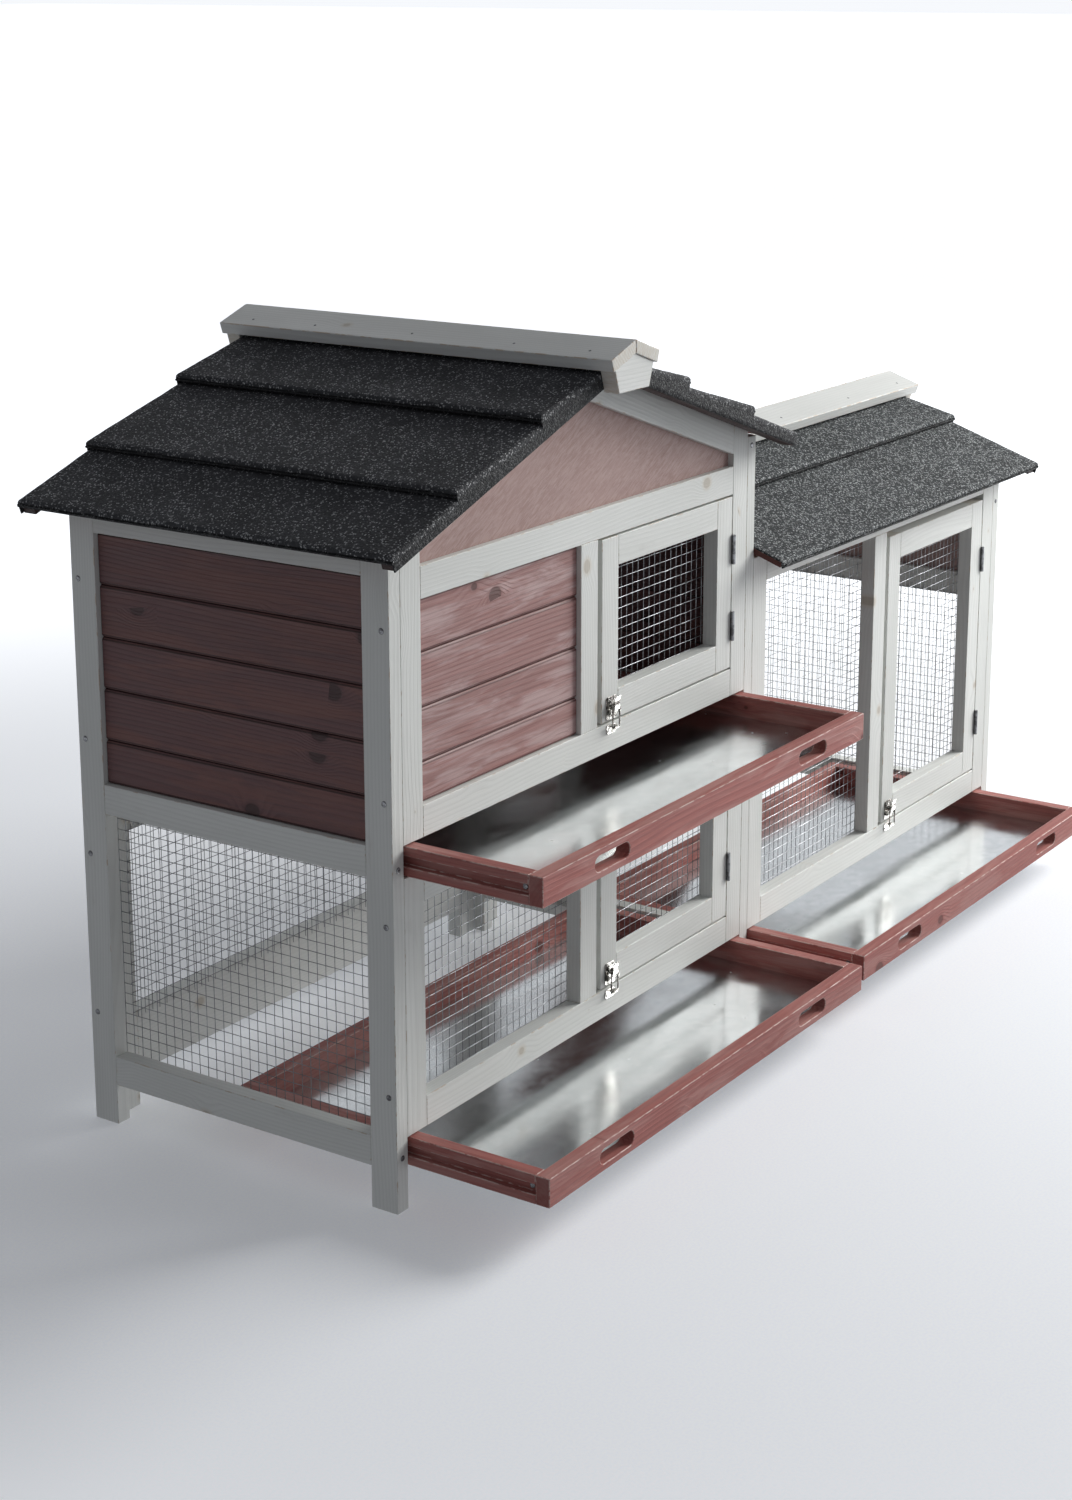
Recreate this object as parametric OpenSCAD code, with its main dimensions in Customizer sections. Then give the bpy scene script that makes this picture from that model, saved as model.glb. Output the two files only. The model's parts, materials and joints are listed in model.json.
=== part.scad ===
// Two-storey rabbit hutch: a gabled house on the left and a lower mesh run on
// its right, with three mesh doors, three toggle latches and three pull-out trays.
// X runs along the front from house to run, Y runs to the back, Z is up.

/* [House] */
// Overall width of the house between the outer faces of its side panels
house_w = 774; // [700:1:850]
// Depth of the hutch from the front face to the back face
hutch_d = 450; // [420:1:480]
// Height of the house side panels
house_h = 754; // [745:1:760]

/* [Run] */
// Width of the run beside the house
run_w = 763; // [740:1:800]
// Height of the run's front and back panels
run_h = 593; // [585:1:600]

/* [Boards] */
// Width of the painted frame boards
board_w = 36; // [34:1:38]
// Thickness of the painted frame boards
board_t = 20; // [18:1:20]
// Face width of one wall plank
plank_w = 61; // [55:1:70]
// Thickness of the wall planks
plank_t = 10; // [8:1:12]
// Thickness of the plywood gable boards
ply_t = 5; // [4:1:6]
// Clear height under the bottom rails of the side panels
foot_h = 50; // [50:1:60]

/* [Roof] */
// Slope of both roofs in degrees
roof_pitch = 19; // [15:1:20]
// Overhang of the roofs past the walls
roof_over = 38; // [30:1:45]
// Thickness of the roof boards
roof_board_t = 7; // [6:1:14]
// Thickness of the mineral felt
felt_t = 2; // [1:0.5:3]
// Thickness of the ridge cap boards
cap_t = 15; // [12:1:18]
// Width of each ridge cap board
cap_w = 49; // [40:1:60]

/* [Doors] */
// Height of the two house doors
house_door_h = 223; // [200:1:224]
// Gap above and below a door
door_gap = 2.5; // [2:0.5:4]
// Gap between a door and the stile on its latch side
latch_gap = 9; // [6:1:12]

/* [Trays] */
// Width of each pull-out tray
tray_w = 725; // [700:1:726]
// Depth of each pull-out tray
tray_d = 428; // [400:1:428]
// Height of the tray boards
tray_h = 34; // [30:1:34]
// Thickness of the tray boards
tray_t = 18; // [15:1:20]
// How far the upper tray is pulled out at rest
upper_tray_out = 176; // [0:1:300]
// How far the lower tray is pulled out at rest
lower_tray_out = 184; // [0:1:300]
// How far the run tray is pulled out at rest
run_tray_out = 172; // [0:1:300]

/* [Mesh] */
// Spacing of the modelled wires, three real wires apart
wire_pitch = 38.1; // [25.4:12.7:50.8]
// Side of the square modelled wire
wire_t = 1; // [0.8:0.1:2]
// How far the mesh laps onto the frame round it
mesh_lap = 8; // [5:1:10]

/* [Hidden] */

white = "#d3d6d2";
stain = "#8c5a55";
dark_stain = "#5d3b3a";
felt_black = "#2f3234";
zinc = "#b9bfc2";
nickel = "#c9ccce";
hole_fn = 48;
slack = 0.2;
// Hairline left between boards that are butted together
seam = 0.1;

total_w = house_w + run_w;
slope = tan(roof_pitch);
// Heights of the front boards, bottom to top
tray_gap = 1.5;
low_rail_z = foot_h + tray_h + 1;
low_open_z = low_rail_z + board_w;
low_open_top = low_open_z + house_door_h + 2 * door_gap;
up_slot_z = low_open_top + board_w;
up_rail_z = up_slot_z + tray_h + 3;
up_open_z = up_rail_z + board_w;
up_open_top = up_open_z + house_door_h + 2 * door_gap;
gable_base = up_open_top + board_w;
low_tray_z = low_rail_z - tray_gap - tray_h;
up_tray_z = up_slot_z + tray_gap;
mid_rail_z = up_rail_z - board_w;
run_rail_z = run_h - board_w;
run_door_top = run_rail_z - latch_gap;
run_door_h = run_door_top - low_open_z - door_gap;
// Places of the uprights in the front panels
house_in = house_w - board_t;
house_mid_x = 367;
house_door_x = house_mid_x + board_w + latch_gap;
house_door_r = house_in - board_w;
run_in = total_w - board_t;
run_mid_x = 1122;
run_door_x = run_mid_x + board_w + latch_gap;
run_door_r = run_in - board_w;
back_y = hutch_d - board_t;
// Roof planes: underside heights above the outer wall faces, and ridges
house_under = house_h + 6;
house_ridge_z = house_under + slope * house_w / 2;
run_under = run_h + 5;
run_ridge_z = run_under + slope * hutch_d / 2;
course_t = roof_board_t + felt_t;
rake_h = 42;
batten_h = 10;
batten_w = 18;
cap_over = 22;
run_roof_end = total_w + 50;
block_t = 20;
// The run's roof starts just clear of the house wall
run_roof_x = house_w + 1;
// Edges of the whole hutch at rest, used to put the origin under its middle
eave_run = roof_over + felt_t * cos(roof_pitch) + course_t * sin(roof_pitch);
box_x0 = -eave_run;
box_x1 = run_roof_end + cap_over;
box_y0 = -max(upper_tray_out, lower_tray_out, run_tray_out);
box_y1 = hutch_d + roof_over + cap_over;

module placed() translate([-(box_x0 + box_x1) / 2, -(box_y0 + box_y1) / 2, 0]) children();

// ---------- shared shapes ----------

// A box from one corner to the opposite one
module bar(a, b) translate(a) cube(b - a);

// Boards butted between others, a hairline short at both ends along X, Y or Z
module rail_x(a, b) bar(a + [seam, 0, 0], b - [seam, 0, 0]);
module rail_y(a, b) bar(a + [0, seam, 0], b - [0, seam, 0]);
module rail_z(a, b) bar(a + [0, 0, seam], b - [0, 0, seam]);

// Extrudes an outline drawn in X and Z from y0 to y1
module along_y(y0, y1) translate([0, y1, 0]) rotate([90, 0, 0]) linear_extrude(y1 - y0) children();

// Extrudes an outline drawn in Y and Z from x0 to x1
module along_x(x0, x1) translate([x0, 0, 0]) rotate([90, 0, 90]) linear_extrude(x1 - x0) children();

// Outline of the space under the house roof
module under_house_roof() polygon([
    [0, 0], [house_w, 0], [house_w, house_under],
    [house_w / 2, house_ridge_z], [0, house_under]
]);

// Outline of the space under the run roof
module under_run_roof() polygon([
    [0, 0], [hutch_d, 0], [hutch_d, run_under],
    [hutch_d / 2, run_ridge_z], [0, run_under]
]);

// Plank with bevelled long edges, drawn lying along X with its face towards -Y
module plank(length, height) along_x(0, length) polygon([
    [2.5, 0], [plank_t, 0], [plank_t, height], [2.5, height], [0, height - 2.5], [0, 2.5]
]);

// Planks filling an opening from the top down
module plank_wall(length, z0, z1) {
    count = ceil((z1 - z0) / plank_w - 0.05);
    for (i = [0:count - 1]) {
        top = z1 - i * plank_w;
        low = i == count - 1 ? z0 : top - plank_w;
        translate([0, 0, low + seam]) plank(length, top - low - 2 * seam);
    }
}

// Wire mesh in the XZ plane: upright wires from y = 0, cross wires behind them
mesh_t = 2 * wire_t + seam;
module mesh(width, height) {
    nx = max(1, round(width / wire_pitch));
    nz = max(1, round(height / wire_pitch));
    px = (width - wire_t) / nx;
    pz = (height - wire_t) / nz;
    for (i = [0:nx])
        translate([i * px, 0, 0]) cube([wire_t, wire_t, height]);
    for (k = [0:nz])
        translate([0, mesh_t - wire_t, k * pz]) cube([width, wire_t, wire_t]);
}

// Mesh lapped over an opening in a panel that lies in the XZ plane
module lapped_mesh(x0, x1, z0, z1, y)
    translate([x0 - mesh_lap, y, z0 - mesh_lap])
        mesh(x1 - x0 + 2 * mesh_lap, z1 - z0 + 2 * mesh_lap);

// Turns a shape drawn along X so that it runs along Y, its face towards -X
module turned_left() multmatrix([[0, 1, 0, 0], [1, 0, 0, 0], [0, 0, 1, 0], [0, 0, 0, 1]]) children();

// ---------- house panels ----------

// Stiles and rails of a house side panel between x0 and x0 + board_t
module side_frame(x0) {
    for (y = [0, hutch_d - board_w])
        bar([x0, y, 0], [x0 + board_t, y + board_w, house_h]);
    for (z = [foot_h, mid_rail_z, house_h - board_w])
        rail_y([x0, board_w, z], [x0 + board_t, hutch_d - board_w, z + board_w]);
}

module left_panel_frame() color(white) placed() side_frame(0);

module left_planks() color(dark_stain) placed()
    turned_left() translate([board_w, 7, 0])
        plank_wall(hutch_d - 2 * board_w, mid_rail_z + board_w, house_h - board_w);

module left_mesh() color(zinc) placed()
    turned_left() lapped_mesh(board_w, hutch_d - board_w, foot_h + board_w, mid_rail_z, board_t);

// The doorway from the nest box into the run
pop_y = 290;
pop_h = 180;
pop_top = mid_rail_z + board_w + pop_h;

module right_panel_frame() color(white) placed() {
    side_frame(house_in);
    rail_z([house_in, pop_y - board_w, mid_rail_z + board_w], [house_w, pop_y, house_h - board_w]);
    rail_y([house_in, pop_y, pop_top], [house_w, hutch_d - board_w, pop_top + board_w]);
}

module right_planks() color(dark_stain) placed()
    translate([house_w - 7, 0, 0]) mirror([1, 0, 0]) turned_left() {
        translate([board_w, 0, 0])
            plank_wall(pop_y - 2 * board_w, mid_rail_z + board_w, house_h - board_w);
        translate([pop_y, 0, 0])
            plank_wall(hutch_d - board_w - pop_y, pop_top + board_w, house_h - board_w);
    }

// Rake boards and stiles cut to the roof, and the rail under the gable
module gable_frame(y0, foot_z) {
    y1 = y0 + board_t;
    along_y(y0, y1) intersection() {
        under_house_roof();
        union() for (x = [board_t, house_in - board_w])
            translate([x, foot_z]) square([board_w, house_ridge_z]);
    }
    for (side = [0, 1])
        along_y(y0, y1) translate([side * house_w, 0]) mirror([side, 0]) polygon([
            [board_t + board_w + seam, house_under + slope * (board_t + board_w)],
            [house_w / 2 - seam, house_ridge_z],
            [house_w / 2 - seam, house_ridge_z - rake_h],
            [board_t + board_w + seam, house_under + slope * (board_t + board_w) - rake_h]
        ]);
    rail_x([board_t + board_w, y0, gable_base - board_w], [house_door_r, y1, gable_base]);
}

// Plywood filling the gable above its rail
module gable_board(y0) along_y(y0, y0 + ply_t) polygon([
    [board_t + board_w, gable_base],
    [house_door_r, gable_base],
    [house_door_r, house_under + slope * (board_t + board_w) - rake_h - seam],
    [house_w / 2, house_ridge_z - rake_h - seam],
    [board_t + board_w, house_under + slope * (board_t + board_w) - rake_h - seam]
]);

module upper_front_frame() color(white) placed() {
    gable_frame(0, up_rail_z);
    rail_z([house_mid_x, 0, up_open_z], [house_mid_x + board_w, board_t, up_open_top]);
    rail_x([board_t + board_w, 0, up_rail_z], [house_door_r, board_t, up_open_z]);
}

module upper_front_planks() color(stain) placed()
    translate([board_t + board_w, 6, 0])
        plank_wall(house_mid_x - board_t - board_w, up_open_z, up_open_top);

module front_gable_board() color(stain) placed() gable_board(8);

module lower_front_frame() color(white) placed() {
    for (x = [board_t, house_door_r])
        bar([x, 0, low_rail_z], [x + board_w, board_t, up_slot_z]);
    rail_z([house_mid_x, 0, low_open_z], [house_mid_x + board_w, board_t, low_open_top]);
    for (z = [low_rail_z, low_open_top])
        rail_x([board_t + board_w, 0, z], [house_door_r, board_t, z + board_w]);
}

module lower_front_mesh() color(zinc) placed()
    lapped_mesh(board_t + board_w, house_mid_x, low_open_z, low_open_top, board_t);

// The back panel stands on its own stiles; its bottom board closes the tray bays
module house_back_frame() color(white) placed() {
    gable_frame(back_y, 0);
    rail_x([board_t + board_w, back_y, foot_h - 8], [house_door_r, hutch_d, low_open_z]);
    rail_x([board_t + board_w, back_y, low_open_top], [house_door_r, hutch_d, up_open_z]);
}

module back_planks() color(dark_stain) placed()
    translate([house_door_r, hutch_d - 6, 0]) rotate([0, 0, 180])
        plank_wall(house_door_r - board_t - board_w, up_open_z, up_open_top);

module back_gable_board() color(dark_stain) placed() gable_board(hutch_d - 8 - ply_t);

module house_back_mesh() color(zinc) placed()
    lapped_mesh(board_t + board_w, house_door_r, low_open_z, low_open_top, back_y - mesh_t);

// ---------- roofs ----------

// One roof slope drawn in the XZ plane: eave end at the origin, rising along +X.
// Each course rests its lower edge on the top corner of the course below it.
overlap = 20;
house_slope_len = (house_w / 2 + roof_over) / cos(roof_pitch);
run_slope_len = (hutch_d / 2 + roof_over) / cos(roof_pitch);
house_starts = [0, 122, 289];
run_starts = [0, 153];

// Length along the slope at which course i ends
function course_end(starts, len, i) = i == len(starts) - 1 ? len : starts[i + 1] + overlap;
// Tilt of course i against the roof plane
function course_tilt(starts, len, i) = i == 0 ? 0 :
    atan((course_t + (i > 1 ? 2.5 : 0.4)) / (course_end(starts, len, i) - starts[i] - overlap));

// Places a board-shaped child at course i, tilted so that its top end lies on the plane
module on_course(starts, len, i) {
    end = course_end(starts, len, i);
    tilt = course_tilt(starts, len, i);
    rotate(roof_pitch) translate([end, 0]) rotate(-tilt) translate([starts[i] - end, 0]) children();
}

module course_board(starts, len, i)
    on_course(starts, len, i) square([course_end(starts, len, i) - starts[i] - 0.5, roof_board_t]);

// Felt over the board's top and down its lower edge
module course_felt(starts, len, i)
    on_course(starts, len, i) difference() {
        translate([-felt_t, 0]) square([course_end(starts, len, i) - starts[i] + felt_t - 0.5, course_t]);
        square([course_end(starts, len, i), roof_board_t]);
    }

// Felt turned down over the end of a course to cover the batten under it
module course_flap(starts, len, i)
    on_course(starts, len, i)
        translate([-felt_t, 0]) square([course_end(starts, len, i) - starts[i] + felt_t - 0.5, course_t]);

// Sets both house slopes upright, eaves at the two sides
module house_slopes() for (side = [0, 1])
    translate([side * house_w, 0]) mirror([side, 0])
        translate([-roof_over, house_under - slope * roof_over]) children();

// Sets both run slopes upright, drawn in the YZ plane
module run_slopes() for (side = [0, 1])
    translate([side * hutch_d, 0]) mirror([side, 0])
        translate([-roof_over, run_under - slope * roof_over]) children();

module house_roof_boards() color(dark_stain) placed()
    for (i = [0:len(house_starts) - 1])
        along_y(felt_t - roof_over, hutch_d + roof_over - felt_t)
            house_slopes() course_board(house_starts, house_slope_len, i);

module house_roof_felt() color(felt_black) placed()
    for (i = [0:len(house_starts) - 1]) {
        along_y(felt_t - roof_over, hutch_d + roof_over - felt_t)
            house_slopes() course_felt(house_starts, house_slope_len, i);
        for (y = [-roof_over, hutch_d + roof_over - felt_t])
            along_y(y, y + felt_t) house_slopes() course_flap(house_starts, house_slope_len, i);
    }

module run_roof_boards() color(dark_stain) placed()
    for (i = [0:len(run_starts) - 1])
        along_x(run_roof_x, run_roof_end - felt_t)
            run_slopes() course_board(run_starts, run_slope_len, i);

module run_roof_felt() color(felt_black) placed()
    for (i = [0:len(run_starts) - 1]) {
        along_x(run_roof_x, run_roof_end - felt_t)
            run_slopes() course_felt(run_starts, run_slope_len, i);
        along_x(run_roof_end - felt_t, run_roof_end)
            run_slopes() course_flap(run_starts, run_slope_len, i);
    }

// Cross-section of one ridge cap board, its upper edge on the ridge line
cap_gap = 7.5;
cap_lift = (course_t + cap_gap) / cos(roof_pitch);
cap_half = cap_w * cos(roof_pitch);
cap_top = cap_t / cos(roof_pitch);
module cap_section() polygon([
    [0.3, cap_lift],
    [0.3, cap_lift + cap_top],
    [cap_half + cap_t * sin(roof_pitch), cap_lift - slope * cap_half + cap_t * cos(roof_pitch)],
    [cap_half, cap_lift - slope * cap_half]
]);

module house_ridge_cap() color(white) placed()
    along_y(-roof_over - cap_over, hutch_d + roof_over + cap_over)
        translate([house_w / 2, house_ridge_z]) for (side = [0, 1]) mirror([side, 0]) cap_section();

module run_ridge_cap() color(white) placed()
    along_x(run_roof_x, run_roof_end + cap_over)
        translate([hutch_d / 2, run_ridge_z]) for (side = [0, 1]) mirror([side, 0]) cap_section();

// Five-sided block that closes the end of a ridge under its cap
block_half = 41;
block_foot = 32;
block_h = 42;
module block_section() polygon([
    [0, cap_lift - slack],
    [block_half, cap_lift - slope * block_half - slack],
    [block_foot, cap_lift - block_h],
    [-block_foot, cap_lift - block_h],
    [-block_half, cap_lift - slope * block_half - slack]
]);

module ridge_blocks() color(white) placed() {
    for (y = [-roof_over - block_t, hutch_d + roof_over])
        along_y(y, y + block_t) translate([house_w / 2, house_ridge_z]) block_section();
    along_x(run_roof_end, run_roof_end + block_t)
        translate([hutch_d / 2, run_ridge_z]) block_section();
}

// Ridge beams inside, and the battens under the ends of the roofs
beam_w = 30;
beam_h = 28;
module slope_batten(len) rotate(roof_pitch)
    translate([2, -batten_h]) square([len - 6, batten_h]);

module roof_beams() color(dark_stain) placed() {
    beam_drop = slope * beam_w / 2;
    bar([(house_w - beam_w) / 2, board_t, house_ridge_z - beam_drop - beam_h],
        [(house_w + beam_w) / 2, back_y, house_ridge_z - beam_drop]);
    bar([house_w + board_t, (hutch_d - beam_w) / 2, run_ridge_z - beam_drop - beam_h],
        [run_in, (hutch_d + beam_w) / 2, run_ridge_z - beam_drop]);
    for (y = [felt_t - roof_over, hutch_d + roof_over - felt_t - batten_w])
        along_y(y, y + batten_w) house_slopes() slope_batten(house_slope_len);
    along_x(run_roof_end - felt_t - batten_w, run_roof_end - felt_t)
        run_slopes() slope_batten(run_slope_len);
}

// ---------- run panels ----------

module run_front_frame() color(white) placed() {
    for (x = [house_w, run_in - board_w])
        bar([x, 0, low_rail_z], [x + board_w, board_t, run_h]);
    rail_z([run_mid_x, 0, low_open_z], [run_mid_x + board_w, board_t, run_rail_z]);
    for (z = [low_rail_z, run_rail_z])
        rail_x([house_w + board_w, 0, z], [run_in - board_w, board_t, z + board_w]);
}

module run_front_mesh() color(zinc) placed()
    lapped_mesh(house_w + board_w, run_mid_x, low_open_z, run_rail_z, board_t);

module run_back_frame() color(white) placed() {
    for (x = [house_w, run_mid_x, run_in - board_w])
        bar([x, back_y, 0], [x + board_w, hutch_d, run_h]);
    for (x = [house_w + board_w, run_mid_x + board_w]) {
        x1 = x < run_mid_x ? run_mid_x : run_in - board_w;
        rail_x([x, back_y, foot_h - 8], [x1, hutch_d, low_open_z]);
        rail_x([x, back_y, run_rail_z], [x1, hutch_d, run_h]);
    }
}

module run_back_mesh() color(zinc) placed() {
    lapped_mesh(house_w + board_w, run_mid_x, low_open_z, run_rail_z, back_y - mesh_t);
    lapped_mesh(run_mid_x + board_w, run_in - board_w, low_open_z, run_rail_z, back_y - mesh_t);
}

// Right end of the run: mesh below the middle rail, a stained board in the gable
module run_side_frame() color(white) placed() {
    for (y = [0, hutch_d - board_w])
        bar([run_in, y, 0], [total_w, y + board_w, run_h]);
    for (z = [foot_h, mid_rail_z])
        rail_y([run_in, board_w, z], [total_w, hutch_d - board_w, z + board_w]);
    for (side = [0, 1])
        along_x(run_in, total_w) translate([side * hutch_d, 0]) mirror([side, 0]) polygon([
            [board_w + seam, run_under + slope * board_w],
            [hutch_d / 2 - seam, run_ridge_z],
            [hutch_d / 2 - seam, run_ridge_z - rake_h],
            [board_w + seam, run_under + slope * board_w - rake_h]
        ]);
}

module run_side_mesh() color(zinc) placed()
    turned_left() lapped_mesh(board_w, hutch_d - board_w, foot_h + board_w, mid_rail_z, run_in - mesh_t);

module run_gable_board() color(stain) placed()
    along_x(run_in + 8, run_in + 8 + ply_t) polygon([
        [board_w, mid_rail_z + board_w],
        [hutch_d - board_w, mid_rail_z + board_w],
        [hutch_d - board_w, run_under + slope * board_w - rake_h - seam],
        [hutch_d / 2, run_ridge_z - rake_h - seam],
        [board_w, run_under + slope * board_w - rake_h - seam]
    ]);

// ---------- inside the run ----------

// Ramp from the doorway of the nest box down into the run, with cross cleats
ramp_w = 104;
ramp_t = 12;
ramp_run = 400;
ramp_top_z = mid_rail_z + board_w - 8;
ramp_low_z = low_rail_z + 10;
ramp_angle = atan((ramp_top_z - ramp_low_z) / ramp_run);
ramp_len = ramp_run / cos(ramp_angle);
cleat_pitch = 58;
module ramp() color(dark_stain) placed()
    translate([house_w + 9, (pop_y + hutch_d - board_w - ramp_w) / 2, ramp_top_z])
        rotate([0, ramp_angle, 0]) {
            translate([0, 0, -ramp_t]) cube([ramp_len, ramp_w, ramp_t]);
            for (i = [0:floor(ramp_len / cleat_pitch) - 1])
                translate([20 + i * cleat_pitch, 6, 0]) cube([10, ramp_w - 12, 6]);
        }

// ---------- trays and their runners ----------

groove_z = 11;
groove_h = 12;
groove_d = 8;
slot_len = 70;
slot_h = 18;
slot_span = 455;
sheet_t = 0.8;
sheet_z = 5;
kerf_d = 6;
runner_reach = 6;
runner_h = groove_h - 3;
house_tray_x = (house_w - tray_w) / 2;
run_tray_x = house_w + 5;

// Side board of a tray, its grooved face towards -X
module tray_side() difference() {
    cube([tray_t - seam, tray_d - tray_t - seam, tray_h]);
    translate([-1, -1, groove_z]) cube([groove_d + 1, tray_d, groove_h]);
    translate([tray_t - kerf_d, -1, sheet_z]) cube([kerf_d + 1, tray_d, sheet_t + slack]);
}

// Front board of a tray with its two hand slots
module tray_front() difference() {
    cube([tray_w, tray_t, tray_h]);
    for (side = [-1, 1])
        translate([tray_w / 2 + side * slot_span / 2, -1, tray_h / 2]) rotate([-90, 0, 0])
            linear_extrude(tray_t + 2) {
                square([slot_len - slot_h, slot_h], center = true);
                for (end = [-1, 1])
                    translate([end * (slot_len - slot_h) / 2, 0]) circle(d = slot_h, $fn = hole_fn);
            }
    translate([tray_t - kerf_d, tray_t - kerf_d, sheet_z])
        cube([tray_w - 2 * (tray_t - kerf_d), kerf_d + 1, sheet_t + slack]);
}

// Rear board of a tray between the two side boards
module tray_rear() difference() {
    translate([tray_t, tray_d - tray_t, 0]) cube([tray_w - 2 * tray_t, tray_t, tray_h]);
    translate([tray_t - 1, tray_d - tray_t - 1, sheet_z])
        cube([tray_w - 2 * tray_t + 2, kerf_d + 1, sheet_t + slack]);
}

module tray_boards(x, out, z) translate([x, -out, z]) {
    translate([0, tray_t + seam, 0]) tray_side();
    translate([tray_w, tray_t + seam, 0]) mirror([1, 0, 0]) tray_side();
    tray_front();
    tray_rear();
}

// Galvanised sheet held in the kerfs of the four boards
sheet_in = tray_t - kerf_d + 0.5;
module tray_floor(x, out, z) translate([x + sheet_in, sheet_in - out, z + sheet_z + slack / 2])
    cube([tray_w - 2 * sheet_in, tray_d - 2 * sheet_in, sheet_t]);

module upper_tray_frame() color(stain) placed() tray_boards(house_tray_x, upper_tray_out, up_tray_z);
module upper_tray_sheet() color(zinc) placed() tray_floor(house_tray_x, upper_tray_out, up_tray_z);
module lower_tray_frame() color(stain) placed() tray_boards(house_tray_x, lower_tray_out, low_tray_z);
module lower_tray_sheet() color(zinc) placed() tray_floor(house_tray_x, lower_tray_out, low_tray_z);
module run_tray_frame() color(stain) placed() tray_boards(run_tray_x, run_tray_out, low_tray_z);
module run_tray_sheet() color(zinc) placed() tray_floor(run_tray_x, run_tray_out, low_tray_z);

// One runner strip reaching from a panel face into a tray's groove
module runner(x0, x1, z) bar([x0, board_t + 2, z + groove_z + 1.5],
    [x1, back_y - 10, z + groove_z + 1.5 + runner_h]);

module tray_runners() color(white) placed() {
    for (z = [low_tray_z, up_tray_z]) {
        runner(board_t, house_tray_x + runner_reach, z);
        runner(house_tray_x + tray_w - runner_reach, house_in, z);
    }
    runner(house_w, run_tray_x + runner_reach, low_tray_z);
    runner(run_tray_x + tray_w - runner_reach, run_in, low_tray_z);
}

// ---------- doors ----------

hinge_gap = 1.6;
hinge_r = 2.4;
pin_r = 1;
hinge_l = 38;
leaf_t = 0.7;
leaf_d = 16;
knuckle_y = -hinge_r - 0.2;

// Frame of a door between x0 and the hinge side x1
module door_frame(x0, x1, z0, h) {
    for (x = [x0, x1 - board_w])
        bar([x, 0, z0], [x + board_w, board_t, z0 + h]);
    for (z = [z0, z0 + h - board_w])
        rail_x([x0 + board_w, 0, z], [x1 - board_w, board_t, z + board_w]);
}

module door_mesh(x0, x1, z0, h)
    lapped_mesh(x0 + board_w, x1 - board_w, z0 + board_w, z0 + h - board_w, board_t);

// Knuckle tube of a hinge from z0 upwards, round the pin
module knuckle(z0, h) translate([0, 0, z0]) difference() {
    cylinder(r = hinge_r, h = h, $fn = hole_fn);
    translate([0, 0, -1]) cylinder(r = pin_r + 0.05, h = h + 2, $fn = hole_fn);
}

// A hinge leaf with the knuckles it carries; dir is -1 on the door, 1 on the stile
module leaf(dir, knuckles) {
    translate([dir > 0 ? 0.1 : -0.1 - leaf_t, -knuckle_y, -hinge_l / 2])
        cube([leaf_t, leaf_d, hinge_l]);
    for (k = knuckles) {
        knuckle(k[0], k[1]);
        difference() {
            translate([dir > 0 ? 0.1 : -0.1 - leaf_t, 0, k[0]]) cube([leaf_t, -knuckle_y, k[1]]);
            translate([0, 0, k[0] - 1]) cylinder(r = pin_r + 0.05, h = k[1] + 2, $fn = hole_fn);
        }
    }
}

// Heights of the two hinges of each door, and the x of each hinge line
third = hinge_l / 3;
house_hinge_x = house_door_r - hinge_gap / 2;
run_hinge_x = run_door_r - hinge_gap / 2;
up_door_z = up_open_z + door_gap;
low_door_z = low_open_z + door_gap;
up_hinges = [up_door_z + 55, up_door_z + 155];
low_hinges = [low_door_z + 68, low_door_z + 168];
run_hinges = [low_door_z + 75, low_door_z + 333];

module at_hinges(x, heights) for (z = heights) translate([x, knuckle_y, z]) children();

module moving_leaves(x, heights)
    at_hinges(x, heights) leaf(-1, [[-third / 2 + 0.15, third - 0.3]]);

module each_hinge() {
    at_hinges(house_hinge_x, concat(up_hinges, low_hinges)) children();
    at_hinges(run_hinge_x, run_hinges) children();
}

module hinge_leaves() color(nickel) placed()
    each_hinge() leaf(1, [[-hinge_l / 2, third], [third / 2, third]]);

module hinge_pins() color(nickel) placed()
    each_hinge() translate([0, 0, -hinge_l / 2]) cylinder(r = pin_r, h = hinge_l, $fn = hole_fn);

house_door_right = house_door_r - hinge_gap;
run_door_right = run_door_r - hinge_gap;

module upper_door_frame() color(white) placed()
    door_frame(house_door_x, house_door_right, up_door_z, house_door_h);
module upper_door_mesh() color(zinc) placed()
    door_mesh(house_door_x, house_door_right, up_door_z, house_door_h);
module upper_door_hinges() color(nickel) placed() moving_leaves(house_hinge_x, up_hinges);
module lower_door_frame() color(white) placed()
    door_frame(house_door_x, house_door_right, low_door_z, house_door_h);
module lower_door_mesh() color(zinc) placed()
    door_mesh(house_door_x, house_door_right, low_door_z, house_door_h);
module lower_door_hinges() color(nickel) placed() moving_leaves(house_hinge_x, low_hinges);
module run_door_frame() color(white) placed()
    door_frame(run_door_x, run_door_right, low_door_z, run_door_h);
module run_door_mesh() color(zinc) placed()
    door_mesh(run_door_x, run_door_right, low_door_z, run_door_h);
module run_door_hinges() color(nickel) placed() moving_leaves(run_hinge_x, run_hinges);

// ---------- toggle latches ----------
// Each latch is drawn round its lever pivot: x across, -y outwards, z up.

latch_w = 22;
plate_t = 1.2;
pivot_out = 5.5;
pivot_up = 13;
link_y = -2.4;
link_z = 5;
bail_r = 1;
bail_half = 7.5;
bail_drop = 26;
lever_half = 5.5;
lever_l = 17;
lever_t = 3;

// Puts a latch on the lower left corner of a door
module at_latch(x, z) translate([x + board_w / 2 + 2, -pivot_out, z + pivot_up]) children();

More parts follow.
